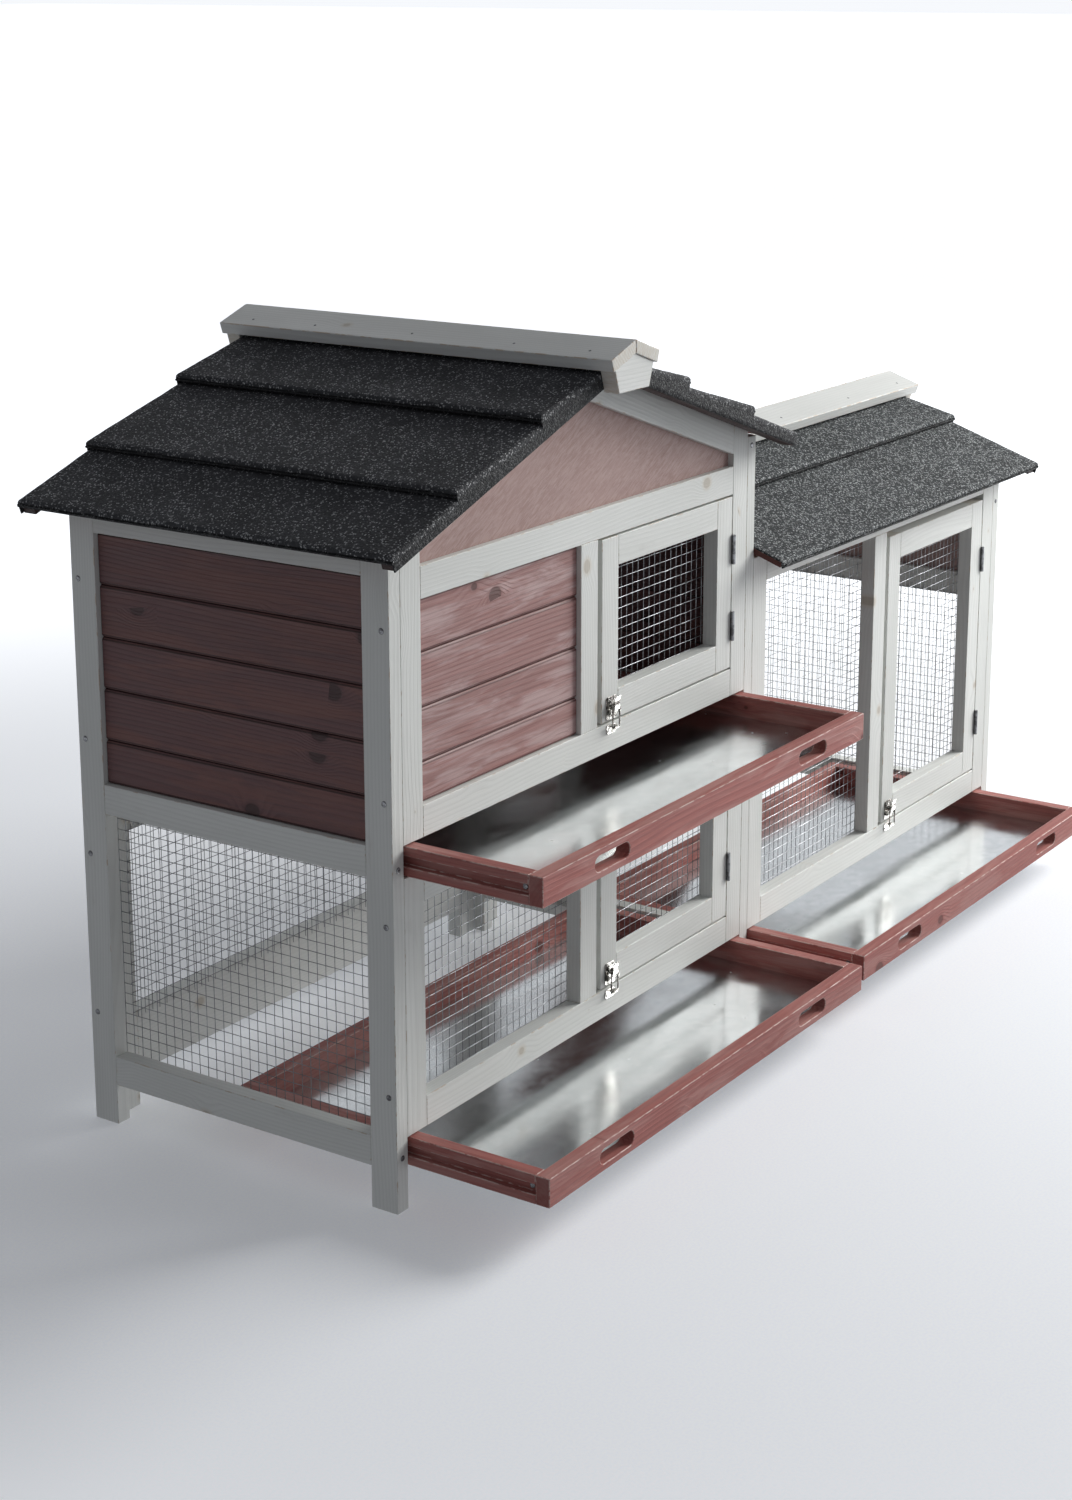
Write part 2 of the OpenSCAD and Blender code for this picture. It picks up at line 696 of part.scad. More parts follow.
// Plate screwed to the door, with two ears and the lever's pin between them
module latch_base() {
    translate([-latch_w / 2, pivot_out - plate_t, -pivot_up + 2])
        cube([latch_w, plate_t, 28]);
    for (side = [-1, 1]) {
        translate([side * (latch_w / 2 - plate_t / 2) - plate_t / 2, -2.5, -4])
            cube([plate_t, pivot_out + 2.5 - plate_t, 8]);
        for (z = [10, 14])
            translate([side * 7, pivot_out - plate_t, z - 1]) rotate([90, 0, 0])
                cylinder(d = 3, h = 0.7, $fn = 24);
    }
    translate([-latch_w / 2 + plate_t, 0, 0]) rotate([0, 90, 0])
        cylinder(r = 1, h = latch_w - 2 * plate_t, $fn = 24);
}

// Lever lying up against the door; it turns out and down round the pin
module latch_lever() difference() {
    union() {
        translate([-lever_half, 0, 0]) rotate([0, 90, 0]) cylinder(r = 2.6, h = 2 * lever_half, $fn = 32);
        translate([-lever_half, link_y - lever_t / 2, 0]) cube([2 * lever_half, lever_t, lever_l]);
        translate([-lever_half, link_y - 0.4, lever_l]) rotate([0, 90, 0])
            cylinder(r = 2, h = 2 * lever_half, $fn = 32);
    }
    translate([-lever_half - 1, 0, 0]) rotate([0, 90, 0])
        cylinder(r = 1.05, h = 2 * lever_half + 2, $fn = 32);
    translate([-lever_half - 1, link_y, link_z]) rotate([0, 90, 0])
        cylinder(r = bail_r + 0.05, h = 2 * lever_half + 2, $fn = 32);
}

// Wire bail: its upper bar turns in the lever and its lower bar hooks under the catch
module latch_bail() {
    for (z = [link_z, link_z - bail_drop])
        translate([-bail_half - bail_r, link_y, z]) rotate([0, 90, 0])
            cylinder(r = bail_r, h = 2 * (bail_half + bail_r), $fn = 24);
    for (side = [-1, 1])
        translate([side * bail_half, link_y, link_z - bail_drop])
            cylinder(r = bail_r, h = bail_drop, $fn = 24);
}

// Catch plate on the rail, its lip above the bail's lower bar
module latch_catch() {
    lip_z = link_z - bail_drop + bail_r + 0.3;
    translate([-latch_w / 2 + 1, pivot_out - plate_t, lip_z - 9]) cube([latch_w - 2, plate_t, 11]);
    translate([-5.5, link_y - 1.5, lip_z]) cube([11, pivot_out - plate_t - link_y + 1.5, 1.5]);
}

module latch_catches() color(nickel) placed() {
    at_latch(house_door_x, up_door_z) latch_catch();
    at_latch(house_door_x, low_door_z) latch_catch();
    at_latch(run_door_x, low_door_z) latch_catch();
}

module upper_latch_base() color(nickel) placed() at_latch(house_door_x, up_door_z) latch_base();
module upper_latch_lever() color(nickel) placed() at_latch(house_door_x, up_door_z) latch_lever();
module upper_latch_bail() color(nickel) placed() at_latch(house_door_x, up_door_z) latch_bail();
module lower_latch_base() color(nickel) placed() at_latch(house_door_x, low_door_z) latch_base();
module lower_latch_lever() color(nickel) placed() at_latch(house_door_x, low_door_z) latch_lever();
module lower_latch_bail() color(nickel) placed() at_latch(house_door_x, low_door_z) latch_bail();
module run_latch_base() color(nickel) placed() at_latch(run_door_x, low_door_z) latch_base();
module run_latch_lever() color(nickel) placed() at_latch(run_door_x, low_door_z) latch_lever();
module run_latch_bail() color(nickel) placed() at_latch(run_door_x, low_door_z) latch_bail();

// ---------- screws ----------

screw_d = 7;
screw_t = 1;
screw_zs = [137, 334, 473, 662];

// Cross-slotted screw head standing on a face, pointing along +Z
module screw_head() difference() {
    cylinder(d = screw_d, h = screw_t, $fn = hole_fn);
    for (turn = [0, 90])
        rotate(turn) translate([-2, -0.5, 0.5]) cube([4, 1, 1]);
}

module screws() color(nickel) placed() {
    for (z = screw_zs, y = [board_t / 2, hutch_d - board_t / 2]) {
        translate([0, y, z]) rotate([0, -90, 0]) screw_head();
        if (z < run_h) translate([total_w, y, z]) rotate([0, 90, 0]) screw_head();
    }
    for (z = [64, 398]) translate([board_t / 2, 0, z]) rotate([90, 0, 0]) screw_head();
    translate([house_w - board_t / 2, 0, 742]) rotate([90, 0, 0]) screw_head();
    translate([total_w - board_t / 2, 0, 538]) rotate([90, 0, 0]) screw_head();
}

// ---------- nodes ----------

left_panel_frame();
left_planks();
left_mesh();
right_panel_frame();
right_planks();
upper_front_frame();
upper_front_planks();
front_gable_board();
lower_front_frame();
lower_front_mesh();
house_back_frame();
back_planks();
back_gable_board();
house_back_mesh();
house_roof_boards();
house_roof_felt();
house_ridge_cap();
ridge_blocks();
roof_beams();
run_front_frame();
run_front_mesh();
run_back_frame();
run_back_mesh();
run_side_frame();
run_side_mesh();
run_gable_board();
run_roof_boards();
run_roof_felt();
run_ridge_cap();
ramp();
tray_runners();
screws();
hinge_leaves();
hinge_pins();
latch_catches();
upper_door_frame();
upper_door_mesh();
upper_door_hinges();
lower_door_frame();
lower_door_mesh();
lower_door_hinges();
run_door_frame();
run_door_mesh();
run_door_hinges();
upper_latch_base();
upper_latch_lever();
upper_latch_bail();
lower_latch_base();
lower_latch_lever();
lower_latch_bail();
run_latch_base();
run_latch_lever();
run_latch_bail();
upper_tray_frame();
upper_tray_sheet();
lower_tray_frame();
lower_tray_sheet();
run_tray_frame();
run_tray_sheet();
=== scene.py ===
"""Looks of the rabbit hutch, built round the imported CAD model. Lengths are in metres."""
import json
import math
import random
import zlib

import bmesh
import bpy
import numpy as np
from mathutils import Matrix, Vector, noise

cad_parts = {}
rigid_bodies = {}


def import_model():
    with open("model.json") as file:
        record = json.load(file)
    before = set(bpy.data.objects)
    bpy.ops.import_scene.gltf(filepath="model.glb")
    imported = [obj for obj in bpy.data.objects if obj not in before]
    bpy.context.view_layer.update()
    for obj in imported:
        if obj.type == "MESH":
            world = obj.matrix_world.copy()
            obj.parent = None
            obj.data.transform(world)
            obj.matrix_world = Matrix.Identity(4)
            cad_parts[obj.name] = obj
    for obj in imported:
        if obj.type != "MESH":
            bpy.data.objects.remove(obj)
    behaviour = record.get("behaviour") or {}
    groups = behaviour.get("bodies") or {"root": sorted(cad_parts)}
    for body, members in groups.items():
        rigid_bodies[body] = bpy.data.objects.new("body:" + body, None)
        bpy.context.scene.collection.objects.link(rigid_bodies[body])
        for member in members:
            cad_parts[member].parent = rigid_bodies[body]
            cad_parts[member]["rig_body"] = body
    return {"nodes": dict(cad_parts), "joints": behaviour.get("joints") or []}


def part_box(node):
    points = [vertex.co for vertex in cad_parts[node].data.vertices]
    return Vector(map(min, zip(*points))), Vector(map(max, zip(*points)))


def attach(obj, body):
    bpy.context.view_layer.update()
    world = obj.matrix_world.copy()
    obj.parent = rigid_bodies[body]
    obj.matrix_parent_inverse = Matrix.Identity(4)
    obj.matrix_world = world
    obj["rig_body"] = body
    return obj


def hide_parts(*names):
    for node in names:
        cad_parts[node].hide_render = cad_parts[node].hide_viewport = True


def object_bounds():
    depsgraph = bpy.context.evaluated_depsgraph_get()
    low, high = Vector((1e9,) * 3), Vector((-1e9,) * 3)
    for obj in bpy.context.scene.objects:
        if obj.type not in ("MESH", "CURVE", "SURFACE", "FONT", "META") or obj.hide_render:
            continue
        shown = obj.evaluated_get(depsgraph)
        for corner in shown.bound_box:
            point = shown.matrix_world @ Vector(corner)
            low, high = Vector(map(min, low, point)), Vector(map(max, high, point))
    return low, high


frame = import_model()
cad_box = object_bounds()
nodes = frame["nodes"]
joints = {joint["name"]: joint for joint in frame["joints"]}
MM = 0.001
DOORS = ("upper", "lower", "run")


def seeded(name):
    """A random source that gives each named piece its own fixed draws."""
    return random.Random(zlib.crc32(name.encode()))


# ---------- camera, light and floor ----------

# The camera stands off the left front corner of the hutch and looks down at it
CAMERA_FROM_CORNER = Vector((-2.0705, -1.5817, 1.3394))
CAMERA_YAW = -55.99
CAMERA_PITCH = -13.88
CAMERA_ROLL = -0.11
CAMERA_LENS = 62.13
CAMERA_SHIFT = -0.1


def direction(yaw, pitch):
    """The unit vector at yaw degrees to the left of +Y and pitch degrees above level."""
    a, e = math.radians(yaw), math.radians(pitch)
    return Vector((-math.sin(a) * math.cos(e), math.cos(a) * math.cos(e), math.sin(e)))


def make_camera():
    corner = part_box("left_panel_frame")[0]
    data = bpy.data.cameras.new("camera")
    data.lens = CAMERA_LENS
    data.sensor_width = 36
    data.shift_y = CAMERA_SHIFT
    data.clip_start, data.clip_end = 0.05, 300
    camera = bpy.data.objects.new("camera", data)
    aim = direction(CAMERA_YAW, CAMERA_PITCH).to_track_quat("-Z", "Y")
    turn = Matrix.Rotation(math.radians(CAMERA_ROLL), 4, "Z")
    camera.matrix_world = Matrix.Translation(corner + CAMERA_FROM_CORNER) @ aim.to_matrix().to_4x4() @ turn
    bpy.context.scene.collection.objects.link(camera)
    bpy.context.scene.camera = camera


def area_light(name, towards, distance, size, power, tint):
    """A square soft light at a direction and distance from the hutch's middle, facing it."""
    middle = (cad_box[0] + cad_box[1]) / 2
    data = bpy.data.lights.new(name, "AREA")
    data.shape = "SQUARE"
    data.size = size
    data.energy = power
    data.color = tint
    light = bpy.data.objects.new(name, data)
    light.location = middle + towards.normalized() * distance
    light.rotation_mode = "QUATERNION"
    light.rotation_quaternion = (-towards).to_track_quat("-Z", "Y")
    bpy.context.scene.collection.objects.link(light)


# ---------- node graphs ----------

ROOM_BRIGHT_X, ROOM_BRIGHT_Y = 0.93, 0.36
ROOM_DIM = (0.205, 0.21, 0.225)
ROOM_BRIGHT = (0.93, 0.95, 0.985)


class Graph:
    """A material, or the world, and short calls that add nodes to it."""

    def __init__(self, owner):
        owner.use_nodes = True
        self.material = owner
        self.nodes, self.links = owner.node_tree.nodes, owner.node_tree.links
        self.shader = self.nodes.get("Principled BSDF") or self.nodes["Background"]

    def put(self, socket, value):
        """Links another node's output to a socket, or sets the socket's value."""
        if isinstance(value, bpy.types.NodeSocket):
            self.links.new(value, socket)
        elif isinstance(value, tuple) and socket.type == "RGBA":
            socket.default_value = (*value, 1)
        else:
            socket.default_value = value

    def math(self, operation, a, b=0.0):
        node = self.nodes.new("ShaderNodeMath")
        node.operation = operation
        self.put(node.inputs[0], a)
        self.put(node.inputs[1], b)
        return node.outputs[0]

    def times(self, a, b):
        return self.math("MULTIPLY", a, b)

    def plus(self, a, b):
        return self.math("ADD", a, b)

    def split(self, vector):
        node = self.nodes.new("ShaderNodeSeparateXYZ")
        self.put(node.inputs[0], vector)
        return node.outputs[0], node.outputs[1], node.outputs[2]

    def join(self, x, y, z):
        node = self.nodes.new("ShaderNodeCombineXYZ")
        for socket, value in zip(node.inputs, (x, y, z)):
            self.put(socket, value)
        return node.outputs[0]

    def stretch(self, vector, x, y, z):
        node = self.nodes.new("ShaderNodeVectorMath")
        node.operation = "MULTIPLY"
        self.put(node.inputs[0], vector)
        node.inputs[1].default_value = (x, y, z)
        return node.outputs[0]

    def span(self, value, low, high, to_low=0.0, to_high=1.0):
        """value from low to high becomes to_low to to_high, smoothly, and stays there outside."""
        node = self.nodes.new("ShaderNodeMapRange")
        node.interpolation_type = "SMOOTHSTEP"
        for socket, v in zip(node.inputs, (value, low, high, to_low, to_high)):
            self.put(socket, v)
        return node.outputs[0]

    def mix(self, share, a, b):
        node = self.nodes.new("ShaderNodeMix")
        node.data_type = "RGBA"
        self.put(node.inputs["Factor"], share)
        self.put(node.inputs[6], a)
        self.put(node.inputs[7], b)
        return node.outputs[2]

    def noise(self, vector, scale=1.0, detail=2.0, rough=0.5, bend=0.0):
        node = self.nodes.new("ShaderNodeTexNoise")
        self.put(node.inputs["Vector"], vector)
        node.inputs["Scale"].default_value = scale
        node.inputs["Detail"].default_value = detail
        node.inputs["Roughness"].default_value = rough
        node.inputs["Distortion"].default_value = bend
        return node.outputs[0]

    def cells(self, vector, scale=1.0):
        """Voronoi cells: distance to the nearest point, a random colour per cell, the point."""
        node = self.nodes.new("ShaderNodeTexVoronoi")
        self.put(node.inputs["Vector"], vector)
        node.inputs["Scale"].default_value = scale
        return node.outputs["Distance"], node.outputs["Color"], node.outputs["Position"]

    def attribute(self, name, output="Fac"):
        node = self.nodes.new("ShaderNodeAttribute")
        node.attribute_name = name
        return node.outputs[output]

    def place(self):
        """Position in the material, in metres, fixed to the piece."""
        return self.nodes.new("ShaderNodeTexCoord").outputs["Object"]

    def bump(self, height, depth, strength=1.0):
        node = self.nodes.new("ShaderNodeBump")
        node.inputs["Strength"].default_value = strength
        node.inputs["Distance"].default_value = depth
        self.put(node.inputs["Height"], height)
        self.put(self.shader.inputs["Normal"], node.outputs[0])

    def finish(self, colour, roughness, metallic=0.0, specular=0.5):
        self.put(self.shader.inputs["Base Color"], colour)
        self.put(self.shader.inputs["Roughness"], roughness)
        self.put(self.shader.inputs["Metallic"], metallic)
        self.put(self.shader.inputs["Specular IOR Level"], specular)
        return self.material


def make_world():
    """A soft room: pale low down to the right and behind, dim to the left and overhead."""
    world = bpy.data.worlds.new("room")
    bpy.context.scene.world = world
    g = Graph(world)
    x, y, z = g.split(g.nodes.new("ShaderNodeTexCoord").outputs["Generated"])
    side = g.plus(g.times(x, ROOM_BRIGHT_X), g.times(y, ROOM_BRIGHT_Y))
    bright = g.times(g.span(side, -0.15, 0.7), g.span(z, 0.25, 0.7, 1.0, 0.0))
    g.put(g.shader.inputs["Color"], g.mix(bright, ROOM_DIM, ROOM_BRIGHT))


# ---------- materials ----------

KNOT_CELLS_ALONG = 6.0
KNOT_CELLS_ACROSS = 15.0


def wood(g, ring_pitch, knot_size, knot_share=0.45):
    """Growth rings, fibres, blotches and knots, in a board's own coordinates: along, across, through."""
    at = g.attribute("grain", "Vector")
    x, y, z = g.split(at)
    tone = g.attribute("tone")
    flat = g.join(g.times(x, KNOT_CELLS_ALONG), g.times(y, KNOT_CELLS_ACROSS), g.times(tone, 50.0))
    _, chance, point = g.cells(flat)
    away = g.nodes.new("ShaderNodeVectorMath")
    away.operation = "SUBTRACT"
    g.put(away.inputs[0], point)
    g.put(away.inputs[1], flat)
    dx, dy, _ = g.split(g.stretch(away.outputs[0], 1 / KNOT_CELLS_ALONG, 1 / KNOT_CELLS_ACROSS, 0))
    far = g.math("SQRT", g.plus(g.times(dx, dx), g.times(g.times(dy, dy), 1.6)))
    size = g.span(g.split(chance)[0], 1 - knot_share, 1.0, 0.0, knot_size)
    rim = g.math("SUBTRACT", far, size)
    knot = g.span(rim, -0.0015, 0.0012, 1.0, 0.0)
    halo = g.times(g.span(rim, 0.0, 0.007, 1.0, 0.0), g.span(size, 0.0, 0.004))
    swirl = g.times(g.span(far, 0.0, 0.04, 1.0, 0.0), g.times(size, 1.3))
    drift = g.times(g.plus(g.noise(g.stretch(at, 2.2, 9, 9), detail=1.0), -0.5), 0.030)
    oy = g.plus(y, g.plus(g.times(tone, 0.05), 0.03))
    oz = g.plus(z, 0.035)
    radius = g.math("SQRT", g.plus(g.times(oy, oy), g.times(oz, oz)))
    phase = g.math("FRACT", g.times(g.plus(g.plus(radius, drift), swirl), 1 / ring_pitch))
    late = g.times(g.span(phase, 0.25, 0.82), g.span(phase, 0.86, 1.0, 1.0, 0.0))
    fibre = g.noise(g.stretch(at, 16, 620, 620), detail=3.0, rough=0.6)
    blotch = g.noise(g.stretch(at, 3.5, 14, 14), detail=2.0)
    return {"late": late, "fibre": fibre, "blotch": blotch, "knot": knot, "halo": halo, "at": at, "tone": tone}


def arris_mask(g, at, share, scale=60.0):
    """Where an arris takes another tint, broken up along the board: rubbed bare on most boards, every arris when the
    cutoff is below zero.
    """
    broken = g.noise(g.stretch(at, 1, 4, 4), scale=scale, detail=3.0, rough=0.65)
    return g.times(g.attribute("arris"), g.span(broken, share, share + 0.12))


def painted(name, light, dim, knot_tint, arris_cutoff=0.52):
    """Thin white paint on softwood: rings and brush marks show faintly, and knots bleed through."""
    g = Graph(bpy.data.materials.new(name))
    w = wood(g, 0.0042, 0.0085, 0.35)
    colour = g.mix(g.span(w["blotch"], 0.3, 0.75), light, dim)
    colour = g.mix(g.times(w["late"], 0.30), colour, tuple(c * 0.86 for c in dim))
    colour = g.mix(g.span(w["fibre"], 0.56, 0.8, 0.0, 0.28), colour, tuple(c * 0.78 for c in dim))
    colour = g.mix(g.times(w["halo"], 0.30), colour, knot_tint)
    colour = g.mix(g.times(w["knot"], 0.42), colour, tuple(c * 0.62 for c in knot_tint))
    smudge = g.noise(g.stretch(w["at"], 9, 26, 26), detail=4.0, rough=0.7)
    colour = g.mix(g.span(smudge, 0.62, 0.8, 0.0, 0.22), colour, (0.42, 0.38, 0.33))
    colour = g.mix(g.times(arris_mask(g, w["at"], arris_cutoff), 0.75), colour, (0.52, 0.40, 0.29))
    saw = g.noise(g.stretch(w["at"], 240, 900, 60), detail=2.0)
    end = g.times(g.attribute("end"), g.span(saw, 0.3, 0.7, 0.25, 0.75))
    colour = g.mix(end, colour, (0.56, 0.50, 0.40))
    height = g.plus(g.times(w["late"], 0.35), g.plus(w["fibre"], g.times(w["knot"], 0.5)))
    g.bump(height, 0.00028, 0.8)
    return g.finish(colour, g.span(w["fibre"], 0.3, 0.8, 0.42, 0.62), specular=0.4)


def stained(name, early, late, knot_tint, haze=None, haze_share=0.0, arris_cutoff=0.6, arris_tint=(0.45, 0.30, 0.24)):
    """Water stain on softwood: dark rings, pale fibres, darker knots, and pale haze in places, which on the front
    planks is a painted sheen.
    """
    g = Graph(bpy.data.materials.new(name))
    w = wood(g, 0.0048, 0.0120, 0.5)
    base = g.mix(g.span(w["blotch"], 0.25, 0.75), early, tuple(c * 0.78 for c in early))
    colour = g.mix(g.times(w["late"], 0.62), base, late)
    colour = g.mix(g.span(w["fibre"], 0.42, 0.72, 0.0, 0.45), colour, tuple(min(1, c * 1.35) for c in early))
    colour = g.mix(g.span(w["fibre"], 0.2, 0.42, 0.4, 0.0), colour, late)
    if haze:
        # Pale haze patches; on the front planks they are a painted sheen of glare.
        haze_patches = g.noise(g.stretch(w["at"], 6, 48, 48), detail=4.0, rough=0.65, bend=0.5)
        colour = g.mix(g.span(haze_patches, 0.42, 0.64, 0.0, haze_share), colour, haze)
    colour = g.mix(g.times(w["halo"], 0.55), colour, late)
    colour = g.mix(g.times(w["knot"], 0.85), colour, knot_tint)
    colour = g.mix(g.span(w["tone"], 0.0, 1.0, 0.0, 0.25), colour, tuple(c * 0.6 for c in early))
    colour = g.mix(g.times(arris_mask(g, w["at"], arris_cutoff), 0.8), colour, arris_tint)
    end = g.times(g.attribute("end"), 0.55)
    colour = g.mix(end, colour, tuple(c * 0.7 for c in late))
    height = g.plus(g.times(w["late"], 0.6), g.plus(w["fibre"], g.times(w["knot"], -0.6)))
    g.bump(height, 0.0004, 0.9)
    return g.finish(colour, g.span(w["fibre"], 0.3, 0.8, 0.5, 0.72), specular=0.35)


def plywood(name, light, dark):
    """Stained plywood face: fine wavy figure running up at a slant, with short dark pores."""
    g = Graph(bpy.data.materials.new(name))
    at = g.attribute("grain", "Vector")
    x, y, z = g.split(at)
    lean = g.join(g.plus(x, g.times(y, 0.55)), g.plus(y, g.times(x, -0.55)), z)
    figure = g.noise(g.stretch(lean, 42, 330, 110), detail=4.0, rough=0.66, bend=1.1)
    pores = g.noise(g.stretch(lean, 150, 1300, 450), detail=2.0)
    cloud = g.noise(g.stretch(lean, 4, 7, 7), detail=3.0)
    colour = g.mix(g.span(figure, 0.36, 0.66), light, dark)
    colour = g.mix(g.span(pores, 0.6, 0.75, 0.0, 0.55), colour, tuple(c * 0.5 for c in dark))
    colour = g.mix(g.span(cloud, 0.35, 0.7, 0.0, 0.35), colour, tuple(min(1, c * 1.22) for c in light))
    g.bump(g.plus(figure, g.times(pores, -0.6)), 0.00018, 0.8)
    return g.finish(colour, g.span(figure, 0.3, 0.7, 0.5, 0.66), specular=0.35)


def mineral_felt(name, bitumen, grit, grit_share, grain_size):
    """Bitumen felt covered in mineral grit: mostly dark grains, some light, thicker along rims, and painted shade on
    the legs that hang down.
    """
    g = Graph(bpy.data.materials.new(name))
    at = g.place()
    near, tint, _ = g.cells(at, 1 / grain_size)
    pick, shade, _ = g.split(tint)
    rim = g.attribute("rim")
    patch = g.noise(at, scale=14, detail=3.0, rough=0.6)
    share = g.plus(grit_share, g.plus(g.times(rim, 0.08), g.times(g.plus(patch, -0.5), 0.22)))
    light = g.times(g.math("LESS_THAN", pick, share), g.span(near, 0.25, 0.55, 1.0, 0.15))
    ground = g.mix(g.span(patch, 0.3, 0.7), bitumen, tuple(c * 1.5 for c in bitumen))
    grain = g.mix(shade, tuple(c * 0.45 for c in grit), grit)
    colour = g.mix(light, ground, grain)
    # Painted shade: the felt's hanging legs darken towards near-black bitumen.
    colour = g.mix(g.span(g.attribute("hang_shade"), 0.0, 0.3, 0.0, 0.86), colour, tuple(c * 0.35 for c in bitumen))
    fine, _, _ = g.cells(at, 2.3 / grain_size)
    height = g.plus(g.times(near, -1.0), g.plus(g.times(fine, -0.35), g.noise(at, scale=160, detail=2.0)))
    g.bump(height, 0.0009, 0.9)
    return g.finish(colour, g.span(pick, 0.0, 1.0, 0.62, 0.92), specular=0.3)


def zinc_sheet(name):
    """Bright galvanised sheet: faint spangles, rolling lines and dull smears."""
    g = Graph(bpy.data.materials.new(name))
    at = g.place()
    _, tint, _ = g.cells(g.stretch(at, 1, 1, 0.2), 95)
    spangle = g.split(tint)[0]
    smear = g.noise(g.stretch(at, 6, 16, 16), detail=4.0, rough=0.6)
    lines = g.noise(g.stretch(at, 8, 900, 20), detail=1.0)
    colour = g.mix(spangle, (0.66, 0.69, 0.70), (0.73, 0.75, 0.76))
    colour = g.mix(g.span(smear, 0.5, 0.8, 0.0, 0.35), colour, (0.52, 0.54, 0.54))
    rough = g.plus(g.span(smear, 0.3, 0.8, 0.12, 0.27), g.times(spangle, 0.02))
    near, chance, _ = g.cells(at, 55)
    fleck = g.times(g.span(near, 0.04, 0.10, 1.0, 0.0), g.math("GREATER_THAN", g.split(chance)[1], 0.88))
    colour = g.mix(g.times(fleck, 0.7), colour, (0.80, 0.80, 0.79))
    rough = g.plus(rough, g.times(fleck, 0.35))
    waves = g.noise(g.stretch(at, 5, 9, 9), detail=1.0)
    g.bump(g.plus(waves, g.times(lines, 0.01)), 0.0012, 0.5)
    return g.finish(colour, rough, metallic=1.0)


def zinc_wire(name):
    """Dull galvanised wire with brighter and darker runs."""
    g = Graph(bpy.data.materials.new(name))
    at = g.place()
    run = g.noise(at, scale=45, detail=3.0, rough=0.6)
    speck = g.noise(at, scale=900, detail=2.0)
    colour = g.mix(g.span(run, 0.3, 0.7), (0.30, 0.31, 0.325), (0.15, 0.155, 0.16))
    colour = g.mix(g.span(speck, 0.6, 0.75, 0.0, 0.5), colour, (0.42, 0.43, 0.44))
    g.bump(speck, 0.0001, 0.6)
    return g.finish(colour, g.span(run, 0.3, 0.7, 0.28, 0.5), metallic=0.85)


def bright_metal(name, light, dark, low, high):
    """Plated steel with fine scuffs and darker stains."""
    g = Graph(bpy.data.materials.new(name))
    at = g.place()
    stain = g.noise(at, scale=160, detail=3.0, rough=0.6)
    scuff = g.noise(g.stretch(at, 2600, 300, 500), detail=2.0)
    colour = g.mix(g.span(stain, 0.42, 0.62), light, dark)
    g.bump(g.plus(g.times(scuff, 0.5), stain), 0.0002, 0.6)
    return g.finish(colour, g.span(scuff, 0.3, 0.8, low, high), metallic=1.0)


def floor_paper(name):
    """Pale studio floor with a barely visible tooth. It also glows as painted light, faintly near the hutch and
    strongly far off, so the distant floor stays pale.
    """
    g = Graph(bpy.data.materials.new(name))
    tooth = g.noise(g.place(), scale=300, detail=3.0)
    colour = g.mix(g.span(tooth, 0.3, 0.7), (0.79, 0.81, 0.84), (0.82, 0.84, 0.87))
    g.bump(tooth, 0.0002, 0.3)
    x, y, _ = g.split(g.place())
    away = g.math("SQRT", g.plus(g.times(x, x), g.times(y, y)))
    # Painted light: the floor glows, more strongly the farther it lies from the hutch.
    g.put(g.shader.inputs["Emission Color"], colour)
    g.put(g.shader.inputs["Emission Strength"], g.span(away, 1.1, 3.2, 0.20, 0.95))
    return g.finish(colour, 0.85, specular=0.2)


WHITE = painted("white_paint", (0.77, 0.785, 0.755), (0.70, 0.715, 0.685), (0.58, 0.48, 0.34))
CAP_WHITE = painted("cap_paint", (0.74, 0.75, 0.725), (0.66, 0.67, 0.645), (0.55, 0.47, 0.35), arris_cutoff=0.45)
# The front planks: the wall planks' stain painted lighter as a lit copy, its pale haze a painted sheen of glare.
FRONT_STAIN_SHEEN = stained("front_stain_sheen", (0.385, 0.205, 0.190), (0.23, 0.098, 0.088), (0.09, 0.035, 0.03),
                      haze=(0.52, 0.375, 0.365), haze_share=0.8, arris_cutoff=-0.2, arris_tint=(0.10, 0.035, 0.03))
# With a cutoff of -0.2, every rounded arris here and on the front planks takes the dark tint, so the V-grooves show
# as dark lines, not worn places.
WALL_STAIN = stained("wall_stain", (0.165, 0.085, 0.085), (0.095, 0.045, 0.047), (0.035, 0.016, 0.016),
                     haze=(0.225, 0.102, 0.084), haze_share=0.6, arris_cutoff=-0.2, arris_tint=(0.025, 0.010, 0.010))
TRAY_STAIN = stained("tray_stain", (0.42, 0.145, 0.125), (0.27, 0.078, 0.066), (0.10, 0.028, 0.022),
                     haze=(0.52, 0.29, 0.26), haze_share=0.55, arris_cutoff=0.42, arris_tint=(0.66, 0.50, 0.45))
ROOF_STAIN = stained("roof_stain", (0.16, 0.055, 0.045), (0.09, 0.028, 0.024), (0.04, 0.014, 0.012), arris_cutoff=0.6)
PLY = plywood("stained_ply", (0.42, 0.29, 0.265), (0.325, 0.200, 0.180))
FELT = mineral_felt("roof_felt", (0.027, 0.028, 0.031), (0.58, 0.59, 0.60), 0.16, 0.0019)
